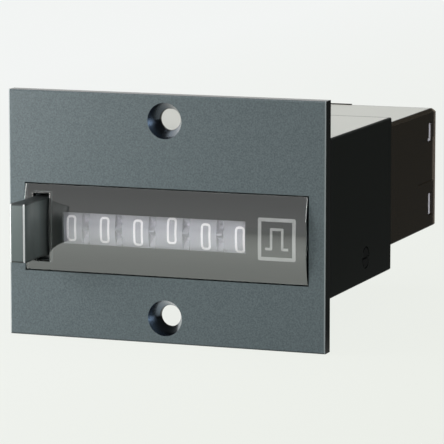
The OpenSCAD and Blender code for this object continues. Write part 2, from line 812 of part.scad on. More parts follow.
// Bridge: cross sheet with bent ends that carries the magnet
module rear_bridge() {
    flange = 6;
    low = coil_z - leg_out;
    tall = 2 * leg_out;
    color("#b7bcc0") difference() {
        union() {
            translate([-side_in, bridge_y, low]) cube([2 * side_in, sheet_t, tall]);
            for (side = [-1, 1])
                translate([side > 0 ? side_in - sheet_t : -side_in, bridge_y - flange, low])
                    cube([sheet_t, flange + cut, tall]);
        }
        bar_y(bridge_y - cut, sheet_t + 2 * cut, 0, coil_z, core_d / 3);
        for (side = [-1, 1]) translate([side * terminal_pitch / 2 - 3, bridge_y - cut, coil_z - 3])
            cube([6, sheet_t + 2 * cut, 6]);
    }
}

// Brass bushes that carry the wheel shaft in the side plates
module shaft_bushes() {
    color("#b08d4c") for (side = [-1, 1]) difference() {
        union() {
            bar_x(side > 0 ? side_in : -side_out, sheet_t, axis_y, axis_z, bush_r - 0.6);
            bar_x(side > 0 ? side_in - 0.1 : -side_in, 0.1, axis_y, axis_z, bush_r);
        }
        bar_x(
            side > 0 ? side_in - cut : -side_out - cut, sheet_t + 2 * cut,
            axis_y, axis_z, shaft_d / 2 + running
        );
    }
}

// Wheel shaft: turned steel bar with teeth for the rack cut in its left end
module wheel_shaft() {
    teeth_from = key_x - key_t / 2 + running;
    teeth_w = key_t - 2 * running;
    shoulder_x = left_x - rim_left - 0.9;
    groove = 0.5;
    color("#c3c6c8") difference() {
        union() {
            bar_x(-side_out, 2 * side_out, axis_y, axis_z, shaft_d / 2);
            bar_x(shoulder_x, 0.8, axis_y, axis_z, hub_r - 0.3);
            translate([0, axis_y, axis_z]) along_x(teeth_from, teeth_w)
                rotate(90) gear_shape(rack_module, shaft_teeth, 0);
        }
        translate([left_x - rim_left, axis_y - groove / 2, axis_z - shaft_d / 2 - groove / 2])
            cube([units_x - left_x + rim_w, groove, groove]);
    }
}

// Collar that keeps the wheels together on their shaft
module shaft_collar() {
    color("#9fa4a6") difference() {
        bar_x(star_hub_end + running, 1.6, axis_y, axis_z, hub_r);
        bar_x(star_hub_end - cut, 2 * cut + 2, axis_y, axis_z, shaft_d / 2);
    }
}

// Number wheels. Wheel 0 counts the units; each next one stands one pitch further left.
function wheel_x(k) = units_x - k * wheel_pitch;

// A thin ring or disc on the wheels' axis
module disc(x, width, r_out, r_in) {
    along_x(x, width) translate([axis_y, axis_z]) difference() {
        circle(r_out, $fn = 120);
        circle(r_in);
    }
}

module carry_shape() {
    turn = -30;
    half = 27;
    far = 2 * ring_tip_r;
    difference() {
        circle(ring_tip_r, $fn = 120);
        difference() {
            polygon([[0, 0], polar(far, turn - half), polar(far, turn + half)]);
            gear_shape(ring_module, ring_teeth, backlash / 2);
        }
        circle(ring_hole_r);
    }
}

module number_wheel(k) {
    x = wheel_x(k);
    last = k == wheels - 1;
    left = x - rim_left;
    right = left + rim_w;
    bore = shaft_d / 2 + running;
    hub_left = last ? left - running : left - carry_w;
    hub_right = k == 0 ? star_hub_end : x - rim_left - carry_w + wheel_pitch - running;
    color("#868b90") difference() {
        union() {
            disc(left, rim_w, wheel_r, wheel_r - rim_wall);
            disc(right - web_t, web_t, wheel_r - rim_wall / 2, hub_r / 2 + bore / 2);
            bar_x(hub_left, hub_right - hub_left, axis_y, axis_z, hub_r);
            bar_x(x - 0.7, right - x, axis_y + pawl_eye, axis_z, pawl_peg_r);
            if (k > 0) along_x(right, gear_w) translate([axis_y, axis_z]) difference() {
                gear_shape(ring_module, ring_teeth, backlash / 2);
                circle(ring_hole_r);
            }
            if (k > 0) disc(right - running, running, ring_hole_r + 1, ring_hole_r);
            if (!last) along_x(left - carry_w, carry_w) translate([axis_y, axis_z]) carry_shape();
            if (k == 0)
                bar_x(right - running, star_hub_end - right + running, axis_y, axis_z, star_hub_r);
            if (k == 0) along_x(star_x - star_t / 2, star_t) translate([axis_y, axis_z]) star_shape();
        }
        bar_x(hub_left - cut, hub_right - hub_left + 2 * cut, axis_y, axis_z, bore);
        translate([x - pawl_t / 2 - slip, axis_y, axis_z - 0.45])
            cube([pawl_t + 2 * slip, hub_r + cut, 0.9]);
    }
}

// Star of the units wheel, driven tooth by tooth by the pallets of the drive lever
module star_shape() {
    root = 0.7 * star_r;
    step = 360 / star_teeth;
    polygon([for (i = [0:star_teeth - 1]) each [
        polar(root, i * step - 0.32 * step), polar(star_r, i * step - 0.07 * step),
        polar(star_r, i * step + 0.07 * step), polar(root, i * step + 0.32 * step)
    ]]);
}

// Reset pawls: small leaves on pegs inside the drums, whose noses reach the shaft through the hubs
module pawl(k) {
    eye_r = pawl_peg_r + running;
    nose_w = 0.5;
    nose_r = shaft_d / 2 + running;
    color("#a9adaf") along_x(wheel_x(k) - pawl_t / 2, pawl_t) translate([axis_y, axis_z]) difference() {
        union() {
            translate([pawl_eye, 0]) circle(1.4);
            polygon([
                [nose_r, -nose_w / 2], [hub_r + 0.4, -nose_w / 2], [pawl_eye, -1.4],
                [pawl_eye, 1.4], [hub_r + 0.4, nose_w / 2], [nose_r, nose_w / 2]
            ]);
        }
        translate([pawl_eye, 0]) circle(eye_r);
    }
}

module units_wheel() number_wheel(0);
module tens_wheel() number_wheel(1);
module hundreds_wheel() number_wheel(2);
module thousands_wheel() number_wheel(3);
module ten_thousands_wheel() number_wheel(4);
module hundred_thousands_wheel() number_wheel(5);
module units_pawl() pawl(0);
module tens_pawl() pawl(1);
module hundreds_pawl() pawl(2);
module thousands_pawl() pawl(3);
module ten_thousands_pawl() pawl(4);
module hundred_thousands_pawl() pawl(5);

// Transfer pinion between wheel k and the wheel right of it
module pinion(k) {
    x = wheel_x(k) + pinion_left;
    teeth_w = gear_w - 2 * slip;
    color("#c9b27c") difference() {
        union() {
            along_x(x, teeth_w) translate([rod_y, axis_z]) rotate(180 / pinion_teeth)
                gear_shape(ring_module, pinion_teeth, backlash / 2);
            bar_x(x, wheel_pitch - running, rod_y, axis_z, pinion_hub_r);
        }
        bar_x(x - cut, wheel_pitch + 2 * cut, rod_y, axis_z, pinion_shaft_d / 2 + running);
    }
}

module tens_pinion() pinion(1);
module hundreds_pinion() pinion(2);
module thousands_pinion() pinion(3);
module ten_thousands_pinion() pinion(4);
module hundred_thousands_pinion() pinion(5);

// Shaft of the transfer pinions, with a shoulder left of the last pinion
module pinion_shaft() {
    shoulder_x = cradle_left + sheet_t;
    shoulder_w = wheel_x(wheels - 1) + pinion_left - slip - shoulder_x;
    color("#c3c6c8") union() {
        bar_x(cradle_left, cradle_right - cradle_left, rod_y, axis_z, pinion_shaft_d / 2);
        bar_x(shoulder_x, shoulder_w, rod_y, axis_z, pinion_shaft_d / 2 + 0.6);
    }
}

// Pinion cradle: bent sheet that swings on its rod and takes the pinions out of the wheels
module cradle_arm_shape() {
    eye = cradle_eye_r;
    difference() {
        union() {
            translate([rod_y, rod_z]) circle(eye);
            translate([rod_y, axis_z]) circle(eye - 0.2);
            polygon([
                [rod_y - eye + 0.2, rod_z], [rod_y + eye - 0.2, rod_z],
                [cradle_web_y + sheet_t, cradle_web_bottom], [cradle_web_y + sheet_t, cradle_web_top],
                [cradle_web_y, cradle_web_top], [rod_y - eye + 0.2, axis_z]
            ]);
        }
        translate([rod_y, rod_z]) circle(cradle_rod_d / 2 + running);
        translate([rod_y, axis_z]) circle(pinion_shaft_d / 2);
    }
}

module cam_finger_shape() {
    pin_y = rod_y - cam_pin_front;
    pin_z = rod_z + cam_pin_up;
    difference() {
        union() {
            translate([pin_y, pin_z]) circle(cam_pin_d / 2 + 0.6);
            polygon([
                [pin_y, pin_z - cam_pin_d / 2 - 0.6], [rod_y, rod_z - cradle_eye_r],
                [rod_y, rod_z + cradle_eye_r + 1], [pin_y, pin_z + cam_pin_d / 2 + 0.6]
            ]);
        }
        translate([rod_y, rod_z]) circle(cradle_rod_d / 2 + running);
    }
}

module pinion_cradle() {
    pin_end = key_x - key_t / 2 + slip;
    color("#aeb3b6") {
        along_x(cradle_left, sheet_t) {
            cradle_arm_shape();
            cam_finger_shape();
        }
        along_x(cradle_right - sheet_t, sheet_t) cradle_arm_shape();
        block(
            [cradle_left, cradle_web_y, cradle_web_bottom],
            [cradle_right, cradle_web_y + sheet_t, cradle_web_top]
        );
        bar_x(
            pin_end, cradle_left - pin_end + sheet_t,
            rod_y - cam_pin_front, rod_z + cam_pin_up, cam_pin_d / 2
        );
    }
}

// Rod that the cradle swings on
module cradle_rod() {
    color("#9fa4a6") bar_x(-side_out, 2 * side_out, rod_y, rod_z, cradle_rod_d / 2);
}

// Armature: iron plate on a rolled knuckle
module armature() {
    knuckle_x = yoke_w / 2 - ear_t - 1.2 * clear;
    wide_z = hinge_z + knuckle_r + 4 * clear;
    color("#8d9296") difference() {
        union() {
            block(
                [-knuckle_x, armature_front, hinge_z],
                [knuckle_x, armature_back, wide_z + cut]
            );
            block([-yoke_w / 2, armature_front, wide_z], [yoke_w / 2, armature_back, coil_z + leg_out]);
            bar_x(-knuckle_x, 2 * knuckle_x, hinge_y, hinge_z, knuckle_r);
        }
        bar_x(-knuckle_x - cut, 2 * knuckle_x + 2 * cut, hinge_y, hinge_z, hinge_pin_d / 2 + running);
    }
}

// Drive lever: bent sheet on the armature, with a two-pallet fork round the units star
module fork_shape() {
    open_y = axis_y - 3;
    pallet = 1.1;
    bar_low = spring_pin_z - lever_t;
    bar_high = bar_low + 4 * lever_t;
    difference() {
        translate([axis_y, axis_z]) difference() {
            circle(fork_out_r);
            circle(fork_in_r);
        }
        translate([axis_y - 2 * fork_out_r, axis_z - fork_out_r - cut])
            square([2 * fork_out_r + open_y - axis_y, 2 * fork_out_r + 2 * cut]);
    }
    translate([axis_y - pallet, axis_z + star_r + clear]) square([2 * pallet, fork_in_r - star_r]);
    translate([axis_y - pallet, axis_z - fork_in_r - cut])
        square([2 * pallet, fork_in_r + cut - star_r - star_tip_lift - clear]);
    translate([axis_y + fork_in_r + 0.6, bar_low])
        square([armature_front - axis_y - fork_in_r - 0.6, bar_high - bar_low]);
}

module drive_lever() {
    strip_low = spring_pin_z - lever_t;
    color("#b7bcc0") {
        along_x(lever_x, lever_t) fork_shape();
        block(
            [-yoke_w / 2 + 1, armature_front - lever_t, strip_low],
            [lever_x + lever_t, armature_front, strip_low + 4 * armature_t]
        );
        bar_x(lever_x, spring_x - lever_x + spring_pin_d, rod_y, spring_pin_z, spring_pin_d / 2);
    }
}

// Hinge pin of the armature
module armature_pin() {
    color("#c3c6c8") bar_x(-yoke_w / 2 - 1, yoke_w + 2, hinge_y, hinge_z, hinge_pin_d / 2);
}

// Return spring of the armature, between the cradle rod and the pin on the drive lever
module armature_spring() {
    wire = 0.4;
    low = rod_z + cradle_rod_d / 2 + wire / 2;
    high = spring_pin_z - spring_pin_d / 2 - wire / 2;
    color("#b9bcbd") {
        translate([spring_x, rod_y, low]) coil_wire(1.4, wire, 9, high - low, true);
        for (p = [[rod_z, cradle_rod_d / 2], [spring_pin_z, spring_pin_d / 2]])
            along_x(spring_x - wire / 2, wire) translate([rod_y, p[0]]) difference() {
                circle(p[1] + wire);
                circle(p[1] + running);
            }
    }
}

// Magnet yoke: U-shaped iron frame with two ears for the armature's hinge
module magnet_yoke() {
    half = yoke_w / 2;
    low = coil_z - leg_out;
    color("#8d9296") difference() {
        union() {
            block([-half, hinge_y + knuckle_r + clear, low], [half, bridge_y, low + yoke_t]);
            block([-half, pole_y + 0.6, coil_z + leg_gap], [half, bridge_y, coil_z + leg_out]);
            block([-half, yoke_back_y, low], [half, bridge_y, coil_z + leg_out]);
            for (side = [-1, 1]) translate([
                side > 0 ? half - ear_t : -half, hinge_y - knuckle_r, hinge_z - knuckle_r
            ]) cube([ear_t, 2 * knuckle_r + clear + yoke_t, knuckle_r + low + yoke_t - hinge_z]);
        }
        bar_x(-half - cut, yoke_w + 2 * cut, hinge_y, hinge_z, hinge_pin_d / 2);
        bar_y(yoke_back_y - cut, yoke_t + 2 * cut, 0, coil_z, core_d / 3);
    }
}

// Magnet core with its pole shoe and a threaded end for the nut
module magnet_core() {
    color("#9a9ea1") {
        bar_y(pole_y, pole_t, 0, coil_z, pole_d / 2);
        bar_y(pole_y, yoke_back_y - pole_y, 0, coil_z, core_d / 2);
        bar_y(pole_y, bridge_y + sheet_t + core_nut_t + 0.6 - pole_y, 0, coil_z, core_d / 3);
    }
}

// Hexagonal nut that clamps the core, the yoke and the bridge
module core_nut() {
    color("#9fa4a6") difference() {
        translate([0, bridge_y + sheet_t, coil_z]) rotate([-90, 0, 0])
            cylinder(h = core_nut_t, d = core_d + 1.2, $fn = 6);
        bar_y(bridge_y + sheet_t - cut, core_nut_t + 2 * cut, 0, coil_z, core_d / 3);
    }
}

// Coil bobbin with square flanges
module coil_bobbin() {
    half = leg_gap - clear;
    front = pole_y + pole_t;
    color("#d8d4c6") difference() {
        union() {
            bar_y(front, yoke_back_y - front, 0, coil_z, core_d / 2 + 1.2);
            for (y = [front, winding_y + winding_len])
                along_y(y, flange_t) bevelled([-half, coil_z - half], [half, coil_z + half], 2);
        }
        bar_y(front - cut, yoke_back_y - front + 2 * cut, 0, coil_z, core_d / 2 + slip);
    }
}

// Winding, wrapped in tape
module coil_winding() {
    color("#7c4a2b") difference() {
        bar_y(winding_y, winding_len, 0, coil_z, winding_d / 2);
        bar_y(winding_y - cut, winding_len + 2 * cut, 0, coil_z, core_d / 2 + 1.2);
    }
}

// Short leads from the bobbin's rear flange to the terminal tails
module coil_leads() {
    from_x = leg_gap - clear;
    to_x = terminal_pitch / 2 - tail_w / 2;
    y = yoke_back_y - flange_t / 2;
    color("#b5653a") for (side = [-1, 1])
        bar_x(side > 0 ? from_x : -to_x, to_x - from_x, y, coil_z, 0.4);
}

// Terminal block: insulating moulding with two screw pockets in the rear end
module terminal_block() {
    color("#23211f") difference() {
        block(
            [-terminal_w / 2, block_front, coil_z - terminal_h / 2],
            [terminal_w / 2, rear_end, coil_z + terminal_h / 2]
        );
        for (side = [-1, 1]) translate([side * terminal_pitch / 2, 0, coil_z]) {
            block(
                [-pocket_w / 2, pocket_floor, -pocket_h / 2],
                [pocket_w / 2, rear_end + cut, pocket_h / 2]
            );
            block(
                [-tail_w / 2 - slip, block_front - cut, -terminal_plate_t / 2 - slip],
                [tail_w / 2 + slip, rear_end - 1, terminal_plate_t / 2 + slip]
            );
            bar_y(block_front + 1, rear_end - block_front, 0, terminal_screw_z - coil_z, terminal_screw_r);
        }
        bar_y(block_front - cut, core_nut_t + 1 + cut, 0, coil_z, (core_d + 1.2) / 2 + clear);
    }
}

// Brass terminal plates with tails that reach forward to the coil's leads
module terminal_plates() {
    w = pocket_w - 2;
    h = pocket_h - 1;
    color("#b8964f") for (side = [-1, 1]) translate([side * terminal_pitch / 2, 0, coil_z]) difference() {
        union() {
            block([-w / 2, pocket_floor, -h / 2], [w / 2, pocket_floor + terminal_plate_t, h / 2]);
            block(
                [-tail_w / 2, yoke_back_y - flange_t, -terminal_plate_t / 2],
                [tail_w / 2, pocket_floor + terminal_plate_t, terminal_plate_t / 2]
            );
        }
        bar_y(
            pocket_floor - cut, terminal_plate_t + 2 * cut,
            0, terminal_screw_z - coil_z, terminal_screw_r
        );
    }
}

// Terminal screws with slotted heads
module terminal_screws() {
    head_r = 2.6;
    head_t = 1.8;
    seat = pocket_floor + terminal_plate_t;
    color("#b9bcbd")
    for (side = [-1, 1]) translate([side * terminal_pitch / 2, 0, terminal_screw_z]) difference() {
        union() {
            bar_y(seat, head_t, 0, 0, head_r);
            bar_y(block_front + 1, seat - block_front, 0, 0, terminal_screw_r);
        }
        block([-head_r - cut, seat + head_t - 0.8, -0.4], [head_r + cut, seat + head_t + cut, 0.4]);
    }
}

front_plate();
window_lens();
window_mask();
reset_key();
key_spring();
front_housing();
rear_housing();
front_top_plate();
rear_top_plate();
housing_screws();
left_side_plate();
right_side_plate();
tie_bars();
rear_bridge();
shaft_bushes();
wheel_shaft();
shaft_collar();
units_wheel();
tens_wheel();
hundreds_wheel();
thousands_wheel();
ten_thousands_wheel();
hundred_thousands_wheel();
units_pawl();
tens_pawl();
hundreds_pawl();
thousands_pawl();
ten_thousands_pawl();
hundred_thousands_pawl();
tens_pinion();
hundreds_pinion();
thousands_pinion();
ten_thousands_pinion();
hundred_thousands_pinion();
pinion_shaft();
pinion_cradle();
cradle_rod();
armature();
drive_lever();
armature_pin();
armature_spring();
magnet_yoke();
magnet_core();
coil_bobbin();
coil_winding();
core_nut();
coil_leads();
terminal_block();
terminal_plates();
terminal_screws();
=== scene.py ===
"""Looks of a panel-mounted pulse counter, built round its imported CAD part.

Lengths are written in millimetres and are turned to Blender's metres where they are used.
The frame: X to the right along the front plate, Y into the panel, Z up, and the origin on the
plate's rear face.
"""

import math

import bmesh
import bpy
import numpy as np
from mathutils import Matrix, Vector


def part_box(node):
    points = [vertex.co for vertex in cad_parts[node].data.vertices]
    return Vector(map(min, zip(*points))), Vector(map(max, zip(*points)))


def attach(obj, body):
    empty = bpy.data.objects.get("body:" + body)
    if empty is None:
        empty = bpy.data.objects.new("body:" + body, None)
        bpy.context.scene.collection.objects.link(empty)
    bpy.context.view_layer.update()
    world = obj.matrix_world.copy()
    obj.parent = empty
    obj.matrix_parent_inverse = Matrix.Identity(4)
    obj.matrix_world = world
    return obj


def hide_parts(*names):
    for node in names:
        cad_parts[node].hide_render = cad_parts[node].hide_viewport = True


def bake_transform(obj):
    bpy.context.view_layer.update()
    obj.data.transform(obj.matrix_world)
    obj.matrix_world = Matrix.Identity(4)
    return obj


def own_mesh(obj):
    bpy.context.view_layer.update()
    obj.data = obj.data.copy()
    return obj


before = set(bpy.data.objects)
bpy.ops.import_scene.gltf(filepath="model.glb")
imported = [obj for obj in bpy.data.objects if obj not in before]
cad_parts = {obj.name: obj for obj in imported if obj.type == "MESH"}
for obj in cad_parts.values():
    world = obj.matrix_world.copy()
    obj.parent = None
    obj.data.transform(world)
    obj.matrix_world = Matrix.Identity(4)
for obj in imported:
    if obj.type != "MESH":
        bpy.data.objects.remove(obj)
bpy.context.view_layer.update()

# Front plate: a black injection-moulded ABS bezel with a fine satin grain from the spark-eroded
# mould. Its front face and bevels are painted slate grey, a painted sheen of the light on them,
# while its edges and the walls of the window stay black. The two countersinks are cut afterwards,
# and the cutter burnishes them.


def linear(code):
    """sRGB hex code to linear red, green, blue and alpha.

    Each part is divided by 12.92 up to 0.04045, and above it is ((part + 0.055) / 1.055) ^ 2.4.
    """
    parts = [int(code[k : k + 2], 16) / 255 for k in (1, 3, 5)]
    return [p / 12.92 if p <= 0.04045 else ((p + 0.055) / 1.055) ** 2.4 for p in parts] + [1.0]


def add(tree, kind, options=None, inputs=None):
    """Adds one node.

    options are its own settings. inputs are its sockets, by name or number, each with a value or
    with an output to link.
    """
    node = tree.nodes.new(kind)
    for name, value in (options or {}).items():
        setattr(node, name, value)
    for name, value in (inputs or {}).items():
        socket = node.inputs[name]
        if isinstance(value, bpy.types.NodeSocket):
            tree.links.new(value, socket)
        else:
            socket.default_value = value
    return node


def material(name, inputs):
    """A material with one Principled shader; returns the material, its tree and the shader."""
    made = bpy.data.materials.new(name)
    made.use_nodes = True
    made.node_tree.nodes.clear()
    shader = add(made.node_tree, "ShaderNodeBsdfPrincipled", inputs=inputs)
    add(made.node_tree, "ShaderNodeOutputMaterial", inputs={"Surface": shader.outputs[0]})
    return made, made.node_tree, shader


def grain(tree, shader, grain_mm, depth, detail=3.0):
    """A mould's grain: noise with cells grain_mm wide, pressed in as a bump depth millimetres deep."""
    place = add(tree, "ShaderNodeTexCoord")
    noise = add(
        tree,
        "ShaderNodeTexNoise",
        inputs={"Vector": place.outputs["Object"], "Scale": 1000 / grain_mm, "Detail": detail},
    )
    bump = add(
        tree,
        "ShaderNodeBump",
        inputs={"Height": noise.outputs[0], "Distance": depth / 1000, "Strength": 1.0},
    )
    tree.links.new(bump.outputs[0], shader.inputs["Normal"])
    return noise


def corners(node):
    """A CAD node's lowest and highest corners, in millimetres."""
    return [np.array(corner) * 1000 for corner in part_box(node)]


def dress(finish, *nodes):
    """These CAD nodes are shown in this finish."""
    for node in nodes:
        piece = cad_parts[node]
        piece.data.materials.clear()
        piece.data.materials.append(finish)


plate_abs, tree, shader = material("abs_with_painted_sheen", {"Roughness": 0.5, "IOR": 1.52})
speckle = grain(tree, shader, grain_mm=0.35, depth=0.012)

# Inside a ring round each screw's axis the painted sheen is left off: the moulding there is
# bare, and glossier than the front face.
screw_height = 23.8
countersink_radius = 4.36
place = add(tree, "ShaderNodeTexCoord")
spot = add(tree, "ShaderNodeSeparateXYZ", inputs={0: place.outputs["Object"]})
height = add(tree, "ShaderNodeMath", {"operation": "ABSOLUTE"}, {0: spot.outputs["Z"]})
off = add(
    tree, "ShaderNodeMath", {"operation": "SUBTRACT"}, {0: height.outputs[0], 1: screw_height / 1000}
)
flat = add(tree, "ShaderNodeCombineXYZ", inputs={"X": spot.outputs["X"], "Y": off.outputs[0]})
away = add(tree, "ShaderNodeVectorMath", {"operation": "LENGTH"}, {0: flat.outputs[0]})
cone = add(
    tree,
    "ShaderNodeMath",
    {"operation": "LESS_THAN"},
    {0: away.outputs["Value"], 1: countersink_radius / 1000},
)
# The painted sheen covers the front face and its bevels, down to this depth behind the face.
plate_low, plate_high = corners("front_plate")
plate_front, sheen_depth = plate_low[1], 0.3
front_and_bevels = add(
    tree,
    "ShaderNodeMath",
    {"operation": "LESS_THAN"},
    {0: spot.outputs["Y"], 1: (plate_front + sheen_depth) / 1000},
)
front_and_bevels = add(
    tree,
    "ShaderNodeMath",
    {"operation": "SUBTRACT", "use_clamp": True},
    {0: front_and_bevels.outputs[0], 1: cone.outputs[0]},
)
# The painted sheen's slate grey is faintly speckled, darker in the pits of the grain.
pits = add(
    tree, "ShaderNodeMapRange", inputs={"Value": speckle.outputs[0], "From Min": 0.3, "From Max": 0.7}
)
speckled_sheen = add(
    tree,
    "ShaderNodeMix",
    {"data_type": "RGBA"},
    {"Factor": pits.outputs[0], 6: linear("#364245"), 7: linear("#4d595c")},
)
front_sheen = add(
    tree,
    "ShaderNodeMix",
    {"data_type": "RGBA"},
    {"Factor": front_and_bevels.outputs[0], 6: linear("#060a0b"), 7: speckled_sheen.outputs[2]},
)
# A painted highlight: the bevels along the two short sides are painted pale.
plate_half, bevel, margin = plate_high[0], 0.35, 0.05
off = add(tree, "ShaderNodeMath", {"operation": "ABSOLUTE"}, {0: spot.outputs["X"]})
aside = add(
    tree,
    "ShaderNodeMath",
    {"operation": "GREATER_THAN"},
    {0: off.outputs[0], 1: (plate_half - bevel + margin) / 1000},
)
bevel_highlight = add(
    tree, "ShaderNodeMath", {"operation": "MULTIPLY"}, {0: aside.outputs[0], 1: front_and_bevels.outputs[0]}
)
with_bevel_highlight = add(
    tree,
    "ShaderNodeMix",
    {"data_type": "RGBA"},
    {"Factor": bevel_highlight.outputs[0], 6: front_sheen.outputs[2], 7: linear("#8e9798")},
)
# The cutter has burnished the cones, outside the bores, to a dark steely gloss. The rear of the
# plate, behind the cones' feet, stays as moulded.
bore_radius, cone_depth = 2.7, 4.1
past = add(
    tree,
    "ShaderNodeMath",
    {"operation": "GREATER_THAN"},
    {0: away.outputs["Value"], 1: bore_radius / 1000},
)
steely = add(
    tree, "ShaderNodeMath", {"operation": "MULTIPLY"}, {0: past.outputs[0], 1: cone.outputs[0]}
)
before = add(
    tree,
    "ShaderNodeMath",
    {"operation": "LESS_THAN"},
    {0: spot.outputs["Y"], 1: (plate_front + cone_depth) / 1000},
)
steely = add(
    tree, "ShaderNodeMath", {"operation": "MULTIPLY"}, {0: steely.outputs[0], 1: before.outputs[0]}
)
cut = add(
    tree,
    "ShaderNodeMix",
    {"data_type": "RGBA"},
    {"Factor": steely.outputs[0], 6: with_bevel_highlight.outputs[2], 7: linear("#707a85")},
)
tree.links.new(cut.outputs[2], shader.inputs["Base Color"])
tree.links.new(steely.outputs[0], shader.inputs["Metallic"])
gloss = add(
    tree,
    "ShaderNodeMapRange",
    inputs={"Value": front_and_bevels.outputs[0], "To Min": 0.2, "To Max": 0.5},
)
tree.links.new(gloss.outputs[0], shader.inputs["Roughness"])
dress(plate_abs, "front_plate")

# Window lens: clear acrylic, moulded with a crowned front and polished, a snug fit in the plate.
# A hard coat on its front mirrors the surroundings, which veils the dark mask behind it; its back
# face is bare.

bare_acrylic, tree, shader = material(
    "bare_acrylic",
    {"Base Color": linear("#ffffff"), "Roughness": 0.015, "IOR": 1.49, "Transmission Weight": 1.0},
)
coated_acrylic, tree, shader = material(
    "hard_coated_acrylic",
    {
        "Base Color": linear("#ffffff"),
        "Roughness": 0.015,
        "IOR": 1.49,
        "Transmission Weight": 1.0,
        "Specular Tint": linear("#e6fff3"),
        "Coat Weight": 1.0,
        "Coat Roughness": 0.01,
        "Coat IOR": 2.4,
    },
)

window_low, window_high = corners("window_lens")
window_width, window_height = (window_high - window_low)[[0, 2]]
window_middle = (window_low[2] + window_high[2]) / 2
crown, lens_back = plate_front - window_low[1], window_high[1]
slot_left, slot_right, slot_height = -34.05, -29.75, 16.5


def lens_parts():
    """The lens as cells in columns and rows, in front and behind, without those of the key's slot.

    A wall stands wherever a cell has no neighbour. The crown stands out at height z by the sag of
    an arc of radius R through the window's edges and middle: sqrt(R^2 - z^2) - (R - crown).
    """
    arc = (window_height**2 / 4 + crown**2) / (2 * crown)
    columns = np.array([-window_width / 2, slot_left, slot_right, window_width / 2])
    side, middle = window_height / 2, slot_height / 2
    edge_rows, slot_rows = 9, 57
    rows = np.concatenate(
        [
            np.linspace(-side, -middle, edge_rows)[:-1],
            np.linspace(-middle, middle, slot_rows)[:-1],
            np.linspace(middle, side, edge_rows),
        ]
    )
    x, z = np.meshgrid(columns, rows, indexing="ij")
    front = plate_front - (np.sqrt(arc**2 - z**2) - (arc - crown))
    back = np.full_like(front, lens_back)
    points = np.concatenate(
        [np.stack([x, y, z + window_middle], axis=2).reshape(-1, 3) for y in (front, back)]
    )
    wide, tall = len(columns), len(rows)
    behind = wide * tall
    cells = {
        (i, j)
        for i in range(wide - 1)
        for j in range(tall - 1)
        if i != 1 or abs(rows[j : j + 2].mean()) > middle
    }
    faces = []
    for i, j in sorted(cells):
        ring = [i * tall + j, (i + 1) * tall + j, (i + 1) * tall + j + 1, i * tall + j + 1]
        faces.append(ring)
        faces.append([k + behind for k in reversed(ring)])
        beside = [(i, j - 1), (i + 1, j), (i, j + 1), (i - 1, j)]
        for k, other in enumerate(beside):
            if other not in cells:
                a, b = ring[k], ring[(k + 1) % 4]
                faces.append([b, a, a + behind, b + behind])
    return points, faces


def piece_of(name, parts, finish, body, smooth=False):
    """A piece on a body, one mesh from several pairs of points in millimetres and faces."""
    points, faces, first = [], [], 0
    for verts, loops in parts:
        points.append(np.asarray(verts) / 1000)
        faces += [[k + first for k in loop] for loop in np.asarray(loops).tolist()]
        first += len(verts)
    mesh = bpy.data.meshes.new(name)
    mesh.from_pydata(np.vstack(points).tolist(), [], faces)
    mesh.materials.append(finish)
    if smooth:
        mesh.polygons.foreach_set("use_smooth", np.ones(len(mesh.polygons), bool))
    mesh.update()
    piece = bpy.data.objects.new(name, mesh)
    bpy.context.collection.objects.link(piece)
    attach(piece, body)
    return piece


def round_over(piece, width):
    """Rounds every sharp edge of a piece over by a strip of this width in millimetres."""
    bevel = piece.modifiers.new("rounding", "BEVEL")
    bevel.width = width / 1000
    bevel.segments = 2
    bevel.limit_method = "ANGLE"
    bevel.angle_limit = math.radians(32)
    bevel.harden_normals = True
    bevel.use_clamp_overlap = True


lens = piece_of("window_lens_skin", [lens_parts()], coated_acrylic, "frame", smooth=True)
lens.data.materials.append(bare_acrylic)
facing = np.zeros(len(lens.data.polygons) * 3)
lens.data.polygons.foreach_get("normal", facing)
lens.data.polygons.foreach_set("material_index", (facing[1::3] > 0.9).astype(int))
round_over(lens, width=0.22)
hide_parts("window_lens")

# Window mask: a thin plate behind the lens, screen-printed in a satin black that dries to a dark
# grey. It hides the works and leaves one long opening for the figures.

mask_print, tree, shader = material(
    "satin_black_print", {"Base Color": linear("#3f4846"), "Roughness": 0.6, "IOR": 1.5}
)
grain(tree, shader, grain_mm=0.3, depth=0.001)
dress(mask_print, "window_mask")

# Reset key: a solid black ABS lever, glossier than the plate, with a shallow dish for the finger
# in each side. Its front and sides are painted slate grey, a painted sheen that fades out towards
# the plate as painted shade, and its front bevels are painted pale as a painted highlight.

key_abs, tree, shader = material(
    "polished_abs", {"Roughness": 0.4, "IOR": 1.53, "Specular IOR Level": 0.35}
)
grain(tree, shader, grain_mm=0.5, depth=0.004)

# The painted highlight lies where the place is within the bevel's width of the front face and of
# a side face. The top, the bottom and the shank that slides in the lens's slot get no painted sheen
# and stay black.
key_low, key_high = corners("reset_key")
key_front, key_middle = key_low[1], (key_low[0] + key_high[0]) / 2
key_thickness, key_bevel, margin = key_high[0] - key_low[0], 0.45, 0.06
key_height, key_half = -2.85, 7.05
place = add(tree, "ShaderNodeTexCoord")
spot = add(tree, "ShaderNodeSeparateXYZ", inputs={0: place.outputs["Object"]})
off = add(
    tree, "ShaderNodeMath", {"operation": "SUBTRACT"}, {0: spot.outputs["X"], 1: key_middle / 1000}
)
off = add(tree, "ShaderNodeMath", {"operation": "ABSOLUTE"}, {0: off.outputs[0]})
aside = add(
    tree,
    "ShaderNodeMath",
    {"operation": "GREATER_THAN"},
    {0: off.outputs[0], 1: (key_thickness / 2 - key_bevel + margin) / 1000},
)
ahead = add(
    tree,
    "ShaderNodeMath",
    {"operation": "LESS_THAN"},
    {0: spot.outputs["Y"], 1: (key_front + key_bevel - margin) / 1000},
)
bevel_highlight = add(
    tree, "ShaderNodeMath", {"operation": "MULTIPLY"}, {0: aside.outputs[0], 1: ahead.outputs[0]}
)
